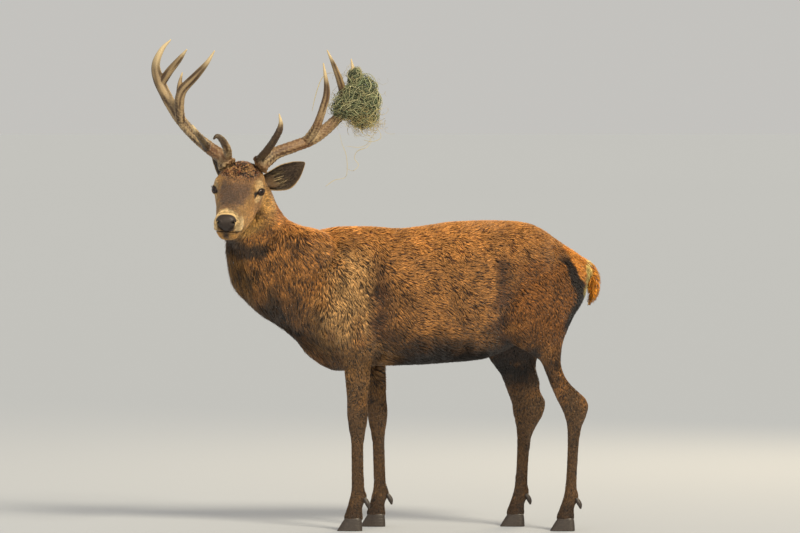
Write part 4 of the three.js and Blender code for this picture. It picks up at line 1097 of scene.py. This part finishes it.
# The crown's tousled curls are dark, red or tan, by where the curl's own number lies.
CROWN_CURLS = [["#2A1D12", -9, -0.3], ["#844D2A", -0.3, 0.45], ["#BF915C", 0.45, 9]]
LEAN = 0.5                       # how far a lock leans over to the middle of its clump
for name, (here, line) in COAT.items():
    here = np.flatnonzero(here & ~hairless)
    share = next((LOCK_SHARE[part] for part in LOCK_SHARE if part in name), 1.0)
    run = np.cumsum(area[here] * share * LOCKS_OVER_EACH_PLACE / (long[here] * half[here]))
    count = int(run[-1])
    count = min(count, LOCKS_IN_A_PIECE)
    at = here[np.searchsorted(run, (np.arange(count) + rng.uniform(0, 1, count)) / count * run[-1])]
    corners = rng.dirichlet([1, 1, 1], count)[..., None]
    root = (hide[faces[at]] * corners).sum(1)
    normal = unit((hide_normals[faces[at]] * corners).sum(1))
    lie, _, length, width = combed(root)
    lie = unit(lie - normal * (lie * normal).sum(1, keepdims=True))
    tousled = blot(from_head(root), [-38, 0, 70], [58, 80, 34])
    sway = 0.2 * mottle(root, 90, 11) + 0.16 * mottle(root, 30, 12) + 2.4 * tousled * mottle(root, 17, 13)
    sway += rng.normal(0, 0.12, count) * (1 + 2 * tousled)
    lie = lie * np.cos(sway)[:, None] + np.cross(normal, lie) * np.sin(sway)[:, None]
    length = length * rng.uniform(0.7, 1.25, count)
    size = np.clip(length * 0.45, 5, 22)
    gather, luck = clumps(root / size[:, None] * CLUMP, CLUMP)
    gather = gather * size[:, None] / CLUMP
    gather = root + (gather - root) * (np.linalg.norm(gather - root, axis=1) < 30)[:, None]
    wanted_end = root + lie * length[:, None] + (gather - root) * LEAN
    wanted_middle = root + lie * 0.5 * length[:, None] + (gather - root) * LEAN * 0.3
    both = np.concatenate([wanted_middle, wanted_end])
    outside, inside = laid_on(tip_shape, both), laid_on(hide_shape, both)
    rise = np.concatenate([0.62 + rng.uniform(-0.1, 0.1, count),
                           0.86 + 0.1 * luck + rng.uniform(-0.12, 0.06, count)])
    fluffy = blot(root, [535, 0, 840], [40, 150, 110])
    stands = np.concatenate([tousled * 0.4, tousled * rng.uniform(-0.4, 0.8, count) + 0.7 * fluffy])
    laid = inside + (outside - inside) * (np.clip(rise, 0.2, 1.0) + stands)[:, None]
    # A lock that would reach over to another part of the body stays close to its own.
    twice = np.concatenate([length, length])
    stray = np.linalg.norm(laid - both, axis=1) > 0.3 * twice + 8
    laid[stray] = (np.concatenate([root, root]) * 0.5 + both * 0.5)[stray]
    middle, end = laid[:count], laid[count:]
    clear = (eye_opening(end)[0] > 1.12) & (eye_opening(middle)[0] > 1.15)
    root_colour, tip_colour, dark = coat_colours((root + middle + 2 * end) / 4)
    is_dark = (rng.uniform(0, 1, count) + 0.25 * luck + 0.12 * mottle(root, 26, 31) < dark)[:, None]
    tip_colour = np.where(is_dark, root_colour * 1.3, tip_colour)
    curl = luck + 0.5 * mottle(root, 22, 33)
    for code, low, high in CROWN_CURLS:
        chosen = (tousled > 0.25) & (curl > low) & (curl <= high)
        tip_colour[chosen] = linear(code)
    bright = 0.19 * luck + rng.normal(0, 0.18, count)
    bright = bright + 0.1 * mottle(root, 60, 32) + 0.14 * mottle(root, 7, 34)
    bright = np.exp(bright)[:, None]
    made = (root - normal * 0.8, middle, end, normal, width * rng.uniform(0.75, 1.25, count),
            root_colour * bright, tip_colour * bright, unrolled(root, *line))
    locks(name, *(part[clear] for part in made), "face_coat" if "head" in name else "coat")


def ear_locks(name, base, point, cup):
    """Short hair over an ear's back, a pale fringe round its rim and loose pale hair inside it.

    Roots, middles and ends are all on the ear's own surface, a little further towards its tip
    and further out of it each time.
    """
    parts = []
    ahead = unit(point - base)
    for count, along, rounds, length, rises, wrap, under, over in (
            (5200, (-0.1, 0.95), (-1, 1), 13, (2.0, 0.8, 0.0), 1.0, "#3A2C1E", "#8B7150"),
            (900, (0.0, 0.97), (0.9, 1), 15, (2.0, 0.2, 0.8), 1.07, "#7A6140", "#D2B584"),
            (2600, (-0.05, 0.95), (-0.97, 0.97), 13, (3.4, 4.6, 5.6), 1.0, "#1A120C", "#4A3826"),
            (30, (0.08, 0.3), (0.05, 0.12), 40, (4.0, 7.0, 9.0), 0.6, "#7E6A48", "#CDB586"),
            (30, (0.1, 0.32), (0.52, 0.6), 40, (4.0, 7.0, 9.0), 0.4, "#7E6A48", "#CDB586"),
            (90, (0.02, 0.4), (-0.95, 0.95), 36, (4.0, 8.0, 11.0), 0.8, "#33261A", "#6E5B3E"),
            (520, (-0.12, 0.14), (-1, 1), 36, (4.0, 14.0, 22.0), 0.95, "#35251A", "#755A3A")):
        t = rng.uniform(*along, count)
        a = rng.uniform(*rounds, count) * (rng.choice([-1, 1], count) if rounds[0] > 0 else 1)
        share = length / EAR_LENGTH * rng.uniform(0.7, 1.2, count)
        inside = rises[0] > 3
        deep = ear_thickness(t, a) * inside - 3.0 * inside
        places = [ear_points(base, point, cup, np.minimum(t + share * k / 2, 1), a * wrap ** (k / 2),
                             rise + deep) for k, rise in enumerate(rises)]
        outwards = places[2] - places[0]
        outwards += (places[0] - (base + (point - base) * t[:, None])) * (-0.05 if inside else 0.05)
        outwards = unit(outwards - ahead * (outwards @ ahead)[:, None])
        light = np.exp(rng.normal(0, 0.22, count))[:, None]
        parts.append((*places, outwards, rng.uniform(0.7, 1.2, count), linear(under) * light,
                      linear(over) * light, np.stack([(t + 0.12) / 1.12, (a + 1) / 2], -1)))
    locks("coat_ear_" + name, *(np.concatenate(column) for column in zip(*parts)), slot="face_coat")


for name, (base, point, cup) in EARS.items():
    ear_locks(name, base, point, cup)

# Lashes along each upper lid.
count = 44
phi = np.linspace(0.15, np.pi - 0.1, count)
level, tall = LID_SHIFT + LID_OPENING[0] * np.cos(phi), LID_OPENING[1] * np.sin(phi)
lines = []
for out, lift in ((17.3, 0.0), (21.5, 0.6), (25.5, 4.0)):
    ray = np.stack([np.ones(count), np.tan(level / EYE_ARC), np.tan((tall + lift) / EYE_ARC)], -1)
    ray = unit(ray) @ EYE_AXES * out
    lines.append(np.concatenate([on_head((EYE + ray) * [1, side, 1]) for side in (1, -1)]))
up, dark = (np.tile(v, (2 * count, 1)) for v in (HEAD_UP, linear("#0A0705")))
locks("lashes", *lines, up, np.full(2 * count, 0.45), dark, dark,
      np.stack([np.linspace(0, 1, 2 * count), np.full(2 * count, 0.5)], -1), slot="face_coat")
bpy.data.objects.remove(hide_shape)
bpy.data.objects.remove(tip_shape)

# ------------------------------------------------------------------ nose pad
# Bare wet skin between the nostrils, finely pebbled. A flattened dome set over the hide, with a
# comma-shaped nostril sunk in each side and a shallow groove down the middle.
NOSTRIL = [28.0, 8.0]            # its middle, from the centre plane and above the pad's middle
NOSTRIL_DEPTH = 13.0


def nose_pad():
    """The dome: forward by cos t, sideways and up by sin t along the pad's outline, t from the front."""
    t = np.linspace(0.02, 2.3, 90)[:, None]
    a = np.linspace(0, 2 * np.pi, 130, endpoint=False)[None, :]
    power = np.where(np.sin(a) > 0, 2 / NOSE_CORNERS, 1.0)
    up = np.sin(t) ** 0.9 * np.sign(np.sin(a)) * np.abs(np.sin(a)) ** power * (NOSE_RADII[2] - 0.6)
    across = np.sin(t) ** 0.9 * np.sign(np.cos(a)) * np.abs(np.cos(a)) ** power * (NOSE_RADII[1] - 0.6)
    across = across * nose_narrowing(up)
    forward = np.cos(t) * (NOSE_RADII[0] - 0.5) + 0 * a
    x, y = np.abs(across) - NOSTRIL[0], up - NOSTRIL[1]
    hole = np.hypot((x * 0.9 - y * 0.44) / 7.5, (y * 0.9 + x * 0.44) / 5.2)
    tail = np.hypot((x - 7.5) / 3.6, (y + 6.5) / 8.0)
    wing = np.hypot(x / 13, (y - 2) / 10)
    sink = NOSTRIL_DEPTH * np.maximum(1 - ramp(hole, 0.4, 1.1), 0.5 * (1 - ramp(tail, 0.3, 1.1)))
    sink -= 2.0 * np.exp(-((wing - 1) / 0.3) ** 2)
    sink += 1.4 * np.exp(-((across / 2.2) ** 2)) * ramp(-up, -14, 4)
    return on_head(NOSE + np.stack([forward - sink * ramp(forward, 2, 9), across, up], -1)), sink


pad_rings, sink = nose_pad()
pad_points, pad_faces = lofted(pad_rings)
shade = np.append(ramp(sink.ravel(), 1.5, 9), [0, 0])[:, None]
nose_pad_piece = mesh_object("nose_pad", in_place(pad_points), pad_faces,
                             skin_colour=blend("#2A1E15", "#050404", shade))

# Wet nose leather: near black, glossy between dull pebbles.
PEBBLE = 2.1                     # millimetres across one pebble of the skin
material, tree, shader = new_material("wet_nose_leather", Roughness=0.4, Specular_IOR_Level=0.4,
                                      Coat_Weight=0.2, Coat_Roughness=0.3)
place = add_node(tree, "ShaderNodeTexCoord").outputs["Object"]
pebbles = add_node(tree, "ShaderNodeTexVoronoi", {"Vector": place, "Scale": 1 / (PEBBLE * MM)},
                   distance="EUCLIDEAN")
domes = add_node(tree, "ShaderNodeMapRange", {"Value": pebbles, "From Min": 0.1, "From Max": 0.7,
                                              "To Min": 1.0, "To Max": 0.0})
feed(shader, {
    "Base Color": add_node(tree, "ShaderNodeAttribute", attribute_name="skin_colour"),
    "Roughness": add_node(tree, "ShaderNodeMapRange", {"Value": domes, "To Min": 0.65, "To Max": 0.38}),
    "Normal": add_node(tree, "ShaderNodeBump", {"Height": domes, "Strength": 0.7, "Distance": 0.0006})})
nose_pad_piece.data.materials.append(material)
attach(nose_pad_piece, "root")
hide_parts("nose")

# ------------------------------------------------------------------ eyes
# Large dark eyeballs under the lids: a brown iris round a level oval pupil, behind a clear wet
# cornea that bulges a little. The lids' edge covers the white.
EYE_RADIUS = 17.5
CORNEA_BULGE = 1.0
# Moist eyeball: iris and pupil seen through a clear film with a sharp highlight.
eyeball_material, tree, shader = new_material("moist_dark_eyeball", Roughness=0.3, Coat_Weight=0.5,
                                              Coat_Roughness=0.03, Specular_IOR_Level=0.15)
feed(shader, {"Base Color": add_node(tree, "ShaderNodeAttribute", attribute_name="eye_colour")})
for side, name in ((1, "left"), (-1, "right")):
    t = np.linspace(0.015, np.pi - 0.015, 60)[:, None]
    a = circle(96)[None, :]
    level, tall = np.sin(t) * np.cos(a), np.sin(t) * np.sin(a)
    radius = EYE_RADIUS - 0.9 + CORNEA_BULGE * np.exp(-((t / 0.75) ** 2)) + 0 * a
    pupil = np.hypot(level / 0.42, tall / 0.2)
    fibres = 0.75 + 0.25 * np.sin(a * 41 + 3 * np.sin(a * 7)) * np.sin(a * 17)
    iris = (linear("#2E1709")[None, None] * fibres[..., None] * ramp(0.95 - t, -0.1, 0.25)[..., None]
            + linear("#0A0604"))
    seen = ramp(pupil, 0.9, 1.1)[..., None] * iris + linear("#030202")
    seen = blend(seen, "#1A120D", ramp(t + 0 * a, 1.0, 1.25)[..., None])
    axes = EYE_AXES * [1, side, 1]
    forward = np.cos(t)[..., None] * axes[0] + level[..., None] * axes[1] + tall[..., None] * axes[2]
    points, eye_faces = lofted(on_head(EYE * [1, side, 1] + forward * radius[..., None]))
    seen = np.concatenate([seen.reshape(-1, 3), seen[0, :1], seen[-1, :1]])
    eyeball = mesh_object("eyeball_" + name, in_place(points), eye_faces, eye_colour=seen)
    eyeball.data.materials.append(eyeball_material)
    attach(eyeball, "root")
    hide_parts("eye_" + name)

# ------------------------------------------------------------------ antlers
# Dead bone, rough with beads low on the beam and grooved lengthwise, rubbed pale and smooth at
# the tips. Each antler is one growth: burr, beam and tines flow into each other.
ANTLERS = {
    "right": {
        "beam": [[-757, -196, 1318, 27], [-775, -190, 1345, 25], [-816, -176, 1374, 23],
                 [-876, -150, 1423, 21], [-926, -120, 1480, 20], [-968, -98, 1548, 21],
                 [-1002, -88, 1618, 21], [-1012, -92, 1672, 16], [-990, -102, 1726, 10],
                 [-956, -112, 1763, 3]],
        "brow": [[-752, -205, 1340, 15], [-752, -262, 1368, 15], [-766, -312, 1402, 12.5],
                 [-786, -334, 1420, 9], [-800, -334, 1408, 4]],
        "bez": [[-826, -188, 1378, 14], [-842, -232, 1402, 12], [-862, -272, 1434, 8.5],
                [-876, -292, 1460, 3]],
        "trez": [[-922, -140, 1470, 17], [-926, -166, 1530, 18], [-914, -184, 1580, 18],
                 [-866, -206, 1632, 15], [-826, -224, 1678, 9.5], [-796, -240, 1724, 3]],
        "spike": [[-929, -172, 1562, 10], [-924, -182, 1602, 9], [-914, -190, 1646, 3]],
        "surroyal": [[-990, -92, 1610, 17], [-962, -104, 1650, 15], [-926, -126, 1692, 11],
                     [-898, -150, 1728, 3]],
    },
    "left": {
        "beam": [[-634, -196, 1318, 27], [-610, -186, 1334, 25], [-577, -168, 1358, 23],
                 [-516, -144, 1380, 22], [-450, -116, 1406, 21], [-390, -96, 1452, 20],
                 [-340, -86, 1508, 19], [-316, -88, 1568, 16], [-304, -98, 1630, 11],
                 [-312, -114, 1694, 3]],
        "brow": [[-640, -206, 1336, 14], [-606, -268, 1374, 14], [-572, -318, 1426, 12.5],
                 [-560, -334, 1462, 9], [-566, -344, 1500, 3]],
        "trez": [[-474, -134, 1398, 17], [-440, -164, 1444, 16], [-414, -190, 1510, 14.5],
                 [-398, -212, 1580, 12], [-410, -236, 1680, 3]],
        "surroyal": [[-334, -92, 1516, 16], [-344, -112, 1584, 14.5], [-366, -142, 1652, 11],
                     [-398, -176, 1726, 3]],
    },
}
BURR_RADIUS = 34.0
BURR_FLATNESS = 0.42
# How much sap stains each beam low down, and the tines rubbed dark: from how far off the tip to
# how far, in millimetres.
SAP = {"right": 0.1, "left": 0.75}
STAINED = {"right": [["brow", -34, 46], ["bez", 26, 200]], "left": [["brow", 26, 400]]}
ANTLER_CELL = 0.0022             # metres across the faces of an antler's surface
BEAD = 6.0                       # millimetres between the beads of the lower beam
GUTTER = 9.0                     # and between the lengthwise grooves


def burr_rings(foot, towards):
    """A flattened ball round the foot of the beam, square to the beam."""
    axis = unit(towards - foot)
    first = unit(np.cross(axis, [0.0, 1.0, 0.0]))
    radii = BURR_RADIUS * np.array([BURR_FLATNESS, 1, 1])
    return foot + ellipsoid_rings([0, 0, 0], radii) @ np.array([axis, first, np.cross(axis, first)])


def along_branches(points, branches):
    """For each point, where it is on the nearest branch.

    Gives the run along it in millimetres, the share of its length and the offset from its
    centreline across two fixed directions. Distances are taken less the radius.
    """
    best = np.full(len(points), np.inf)
    found = np.zeros((len(points), 4))
    for rows in branches:
        line, tangent = curve_through(rows, 120)
        run = run_along(line)
        first = unit(np.cross(tangent, [0.3, 1.0, 0.2]))
        second = np.cross(tangent, first)
        off = points[:, None] - line[None, :, :3]
        far = np.linalg.norm(off, axis=2) - line[:, 3]
        k = far.argmin(1)
        gap, off = far.min(1), off[np.arange(len(points)), k]
        near = gap < best
        values = np.stack([run[k], run[k] / run[-1], (off * first[k]).sum(1), (off * second[k]).sum(1)], -1)
        found[near], best[near] = values[near], gap[near]
    return found


# Weathered antler: brown from the sap it was rubbed with, dark in the grooves, bone-pale on beads
# and tips. Only a faint polish.
PORE = 1.8                       # millimetres between the pores of the bone
antler_material = marked_material("rubbed_antler_bone", "bone_colour", (PORE, 4.0), (0.78, 1.16),
                                  (0.45, 0.0006), Roughness=0.55)

for name, branches in ANTLERS.items():
    beam = np.array(branches["beam"], float)
    parts = [lofted(tube_rings(rows, 90, 28)) for rows in branches.values()]
    parts.append(lofted(burr_rings(beam[0, :3], beam[1, :3])))
    antler = merged_mesh(parts, ANTLER_CELL)
    points, edges = vertices_of(antler), edges_of(antler)
    points = smoothed(points, edges, np.ones(len(points)), 8)
    run, share, across, over = along_branches(points, branches.values()).T
    from_foot = np.linalg.norm(points - beam[0, :3], axis=1)
    height = points[:, 2] - beam[0, 2]
    low = 1 - ramp(height, 90, 330)
    rubbed = ramp(share, 0.72, 0.93) * ramp(height, 40, 90)
    rough = (1 - rubbed) * (0.35 + 0.65 * low)
    beads = np.clip(mottle(points, BEAD, 41) + 0.2, 0, 1.2) * low
    flow = np.stack([across, over, run / 9], -1)
    grooves = np.clip(mottle(flow, GUTTER, 42), -1.2, 1.0)
    knobs = np.clip(mottle(points, 10, 43) + 0.3, -0.4, 1.2) * (1 - ramp(from_foot, 30, 46))
    put_vertices(antler, points)
    normals = numbers_of(antler.vertices, "normal", 3).astype(float)
    relief_height = 1.1 * beads * (1 - rubbed) + 0.8 * grooves * rough + 2.2 * knobs
    put_vertices(antler, points + normals * (relief_height - 0.9)[:, None])
    light = np.clip(0.45 + 0.35 * grooves + 0.5 * beads + 0.18 * mottle(points, 40, 44), 0, 1)[:, None]
    sappy = (low * (SAP[name] + 0.4 * mottle(points, 50, 45)).clip(0, 1))[:, None]
    bone = blend(blend("#46331F", "#A38B66", light), "#6F4726", 0.6 * sappy)
    stained = np.zeros(len(points))
    for tine, low_end, high_end in STAINED[name]:
        line = curve_through(branches[tine], 60)[0]
        gap = (np.linalg.norm(points[:, None] - line[None, :, :3], axis=2) - line[:, 3]).min(1)
        end = np.linalg.norm(points - line[-1, :3], axis=1)
        stained = np.maximum(stained, (1 - ramp(gap, 1, 5)) * ramp(end, low_end, low_end + 34)
                             * (1 - ramp(end, high_end, high_end + 30)))
    bone = blend(bone, "#D2BC92", (rubbed * (1 - stained))[:, None])
    give_attributes(antler, bone_colour=blend(bone, "#2C2218", 0.75 * stained[:, None]))
    antler.polygons.foreach_set("use_smooth", np.ones(len(antler.polygons), bool))
    antler.materials.append(antler_material)
    piece = placed("antler_" + name, antler)
    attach(piece, "root")
    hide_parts(*("antler_" + name + "_" + part for part in branches))

# ------------------------------------------------------------------ hooves and dewclaws
# Two black horn claws to each foot, ridged by their yearly growth, on flat soles, and two small
# dewclaws behind each fetlock. The short coat of the foot hangs over their upper edge.
FEET = {
    "fore": (-362.0, -272.0, FORE_MIDDLE_Y, -256.0, 82.0),
    "hind": (402.0, 490.0, 115.0, 504.0, -176.0),
}
DEWCLAW = [[-10, 118, 6], [-2, 106, 8.5], [4, 94, 8], [7, 80, 3]]
CLAW_RINGS = [[0, 1.5, 0.6, 0.93], [2, 0, 0, 1], [5, 2, 0, 1], [42, 26, 3, 0.96], [47, 31, 8, 0.8]]
CLAW_HALF_WIDTH = 13.2


def claw_rings(toe, heel, middle):
    """Level sections up a claw: pointed ahead and round behind, sloping back as they rise."""
    z = np.concatenate([np.linspace(0, 5, 6), np.linspace(6, 47, 42)])[:, None]
    rows = np.array(CLAW_RINGS, float)
    back, inset, share = (through(rows[:, [0, k]])(z) for k in (1, 2, 3))
    share = share + 0.012 * np.sin(z * 1.15) * ramp(z, 6, 12)
    a = circle(60)[None, :]
    along = (1 - np.cos(a)) / 2
    low, high = toe + back, heel - inset
    x = low + (high - low) * along
    y = middle + CLAW_HALF_WIDTH * share * np.sin(a) * (0.73 + 0.39 * along)
    return np.stack([x, y, z + 0 * a], -1)


# Hoof horn: black keratin with a dull shine, scuffed grey low down, with fine growth rings.
RING = 3.4                       # millimetres between growth rings
horn_material, tree, shader = new_material("black_hoof_horn", Roughness=0.42)
place = add_node(tree, "ShaderNodeTexCoord").outputs["Object"]
ringed = add_node(tree, "ShaderNodeTexWave", {"Vector": place, "Scale": 0.314 / (RING * MM),
                                              "Distortion": 1.5, "Detail": 2.0}, bands_direction="Z")
scuffs = add_node(tree, "ShaderNodeTexNoise", {"Vector": place, "Scale": 1 / (6 * MM), "Detail": 5.0})
tone = add_node(tree, "ShaderNodeMix", {0: scuffs, 6: (*linear("#16110F"), 1),
                                        7: (*linear("#4A4039"), 1)}, data_type="RGBA")
feed(shader, {"Base Color": tone.outputs[2],
              "Normal": add_node(tree, "ShaderNodeBump", {"Height": ringed.outputs["Fac"], "Strength": 0.5,
                                                          "Distance": 0.0006})})

for which, (toe, heel, middle, fetlock, right_shift) in FEET.items():
    for name, side in (("left", -1), ("right", 1)):
        shift = right_shift * (side > 0)
        for claw, across in (("inner", -CLAW_FROM_MIDDLE), ("outer", CLAW_FROM_MIDDLE)):
            y = side * (middle + across)
            line = [[fetlock + back + shift, y, z, r] for back, z, r in DEWCLAW]
            for kind, rings in (("hoof", claw_rings(toe + shift, heel + shift, y)),
                                ("dewclaw", tube_rings(line, 40, 24))):
                node = kind + "_" + which + "_" + name + "_" + claw
                points, horn_faces = lofted(rings)
                horn = mesh_object(node + "_horn", in_place(points), horn_faces)
                horn.data.materials.append(horn_material)
                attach(horn, "root")
                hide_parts(node)

# ------------------------------------------------------------------ grass tangle
# A ball of torn grass wound round the crown of the left antler, green-grey and dense, with dry
# straw curling out of it and a few long strands hanging.
# Its lumps: middle x, y, z and radii, in millimetres.
TANGLE_LUMPS = np.array([
    [-297, -102, 1624, 27, 30, 38], [-272, -96, 1590, 50, 48, 46], [-332, -96, 1520, 52, 54, 46],
    [-270, -96, 1500, 58, 58, 50], [-304, -96, 1546, 58, 58, 58], [-252, -96, 1546, 46, 50, 46],
])
STRAND_STEPS = 11


def strand_mesh(name, lines, radii, colours):
    """Thin three-sided blades along many lines at once, each tapering to both ends."""
    count, steps, _ = lines.shape
    tangent = unit(np.gradient(lines, axis=1))
    first = unit(np.cross(tangent, rng.normal(size=(count, 1, 3))))
    second = np.cross(tangent, first)
    share = np.linspace(0, 1, steps)
    thick = (radii[:, None] * np.sin(np.pi * (0.06 + 0.88 * share)) ** 0.5)[..., None, None]
    turn = (np.arange(3) * 2 * np.pi / 3)[None, None, :, None]
    rings = lines[:, :, None] + thick * (np.cos(turn) * first[:, :, None]
                                         + 0.5 * np.sin(turn) * second[:, :, None])
    points = rings.reshape(count * steps * 3, 3)
    i = np.arange(3)
    j = (i + 1) % 3
    row = (np.arange(steps - 1) * 3)[:, None]
    wall = np.concatenate([np.stack([row + i, row + j, row + 3 + j], -1),
                           np.stack([row + i, row + 3 + j, row + 3 + i], -1)]).reshape(-1, 3)
    last = (steps - 1) * 3
    faces = np.concatenate([wall, [[2, 1, 0], [last, last + 1, last + 2]]])
    faces = (faces[None] + (np.arange(count) * steps * 3)[:, None, None]).reshape(-1, 3)
    return mesh_object(name, in_place(points), faces, grass_colour=np.repeat(colours, steps * 3, axis=0))


def wound_lines(count, reach, steps=STRAND_STEPS):
    """Lines over one of the lumps: arcs of tilted circles, their radius within the given shares."""
    axis = unit(rng.normal(size=(count, 3)))
    first = unit(np.cross(axis, rng.normal(size=(count, 3))))
    second = np.cross(axis, first)
    tilt = rng.uniform(-0.75, 0.75, (count, 1, 1))
    start, sweep = rng.uniform(0, 2 * np.pi, (count, 1)), rng.uniform(0.6, 2.2, (count, 1))
    a = (start + sweep * np.linspace(0, 1, steps))[..., None]
    ring = np.cos(a) * first[:, None] + np.sin(a) * second[:, None]
    outwards = ring * np.sqrt(1 - tilt**2) + axis[:, None] * tilt
    radius = rng.uniform(*reach, (count, 1, 1)) + 0.05 * np.sin(a * 3 + 5 * tilt)
    wander = 0.05 * np.stack([np.sin(a[..., 0] * 5 + k * 2.1 + start) for k in range(3)], -1)
    lump = TANGLE_LUMPS[rng.integers(0, len(TANGLE_LUMPS), count)][:, None]
    return lump[..., :3] + (outwards * radius + wander) * lump[..., 3:]


def curled_lines(count, starts, spread, drop, steps=STRAND_STEPS):
    """Loose lines from given starts: each runs off one way, falls, and curls by a slow circle."""
    way = rng.normal(size=(count, 1, 3)) * [1.0, 0.8, 0.7]
    t = np.linspace(0, 1, steps)[None, :, None]
    size = rng.uniform(4, 16, (count, 1, 1))
    turns = rng.uniform(0.6, 2.4, (count, 1, 1)) * 2 * np.pi
    curl = np.concatenate([np.cos(turns * t) - 1, 0.6 * np.sin(turns * t), np.sin(turns * t)], -1) * size
    return starts[:, None] + way * spread * t - np.array([0, 0, 1.0]) * drop * t**2 + curl


def hanging_line(corners, y):
    """One long strand through picture-plane corners [x, z] at about one depth."""
    rows = [[x, y + 6 * np.sin(k * 1.7), z, 1] for k, (x, z) in enumerate(corners)]
    return curve_through(rows, 60)[0][:, :3]


grass_parts = []
# Deep blades run from grey-green to near black: partly the grass's colour, partly painted shade.
inner = wound_lines(2100, (0.5, 1.02))
grass_parts.append((inner, rng.uniform(1.0, 2.0, len(inner)), "#22271A", "#8B9A70"))
# A paler outer layer: partly the colour of dry grass, partly painted highlight on the ball's outside.
pale = wound_lines(620, (0.9, 1.16))
grass_parts.append((pale, rng.uniform(0.9, 1.7, len(pale)), "#848A60", "#CDC799"))
rim = [-255, -115, 1476] + rng.normal(size=(190, 3)) * [32, 18, 22]
grass_parts.append((curled_lines(190, rim, 22, 12), rng.uniform(0.5, 0.9, 190), "#9A8850", "#DCC98A"))
outer = wound_lines(150, (0.9, 1.0), 2)[:, 0]
grass_parts.append((curled_lines(150, outer, 26, 6), rng.uniform(0.5, 0.9, 150), "#8A7E50", "#D2C18A"))
HANGING = [
    ([[-353, 1426], [-345, 1390], [-330, 1350], [-326, 1300], [-334, 1268], [-372, 1258],
      [-404, 1236]], -112),
    ([[-262, 1412], [-240, 1400], [-256, 1376], [-290, 1362], [-300, 1336], [-286, 1312], [-304, 1292],
      [-330, 1300]], -92),
    ([[-330, 1380], [-280, 1376], [-250, 1392], [-236, 1420]], -100),
    ([[-372, 1642], [-396, 1640], [-420, 1618], [-440, 1560], [-452, 1506]], -118),
    ([[-250, 1470], [-216, 1440], [-206, 1410], [-236, 1396], [-268, 1402]], -84),
]
long_lines = np.stack([hanging_line(*each) for each in HANGING])

# Dry grass: dull, with a faint sheen, from grey-green to straw.
grass_material = marked_material("dry_grass_blade", "grass_colour", (4.0, 2.0), (0.75, 1.2), None,
                                 Roughness=0.7, Sheen_Weight=0.1)

made = []
for number, (lines, radii, dark_code, light_code) in enumerate(grass_parts):
    mix = rng.uniform(0, 1, (len(lines), 1)) ** 1.3
    made.append(strand_mesh("grass_part_%d" % number, lines, radii, blend(dark_code, light_code, mix)))
made.append(strand_mesh("grass_part_long", long_lines, np.full(len(long_lines), 1.5),
                        np.tile(linear("#C9B678"), (len(long_lines), 1))))
grass_names = ("wound_grass_and_shade", "pale_straw_and_highlight", "loose_straw", "stray_straw", "hanging_straw")
for piece, piece_name in zip(made, grass_names):
    piece.name = piece_name
    piece.data.materials.append(grass_material)
    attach(piece, "root")
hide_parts("grass_tangle")
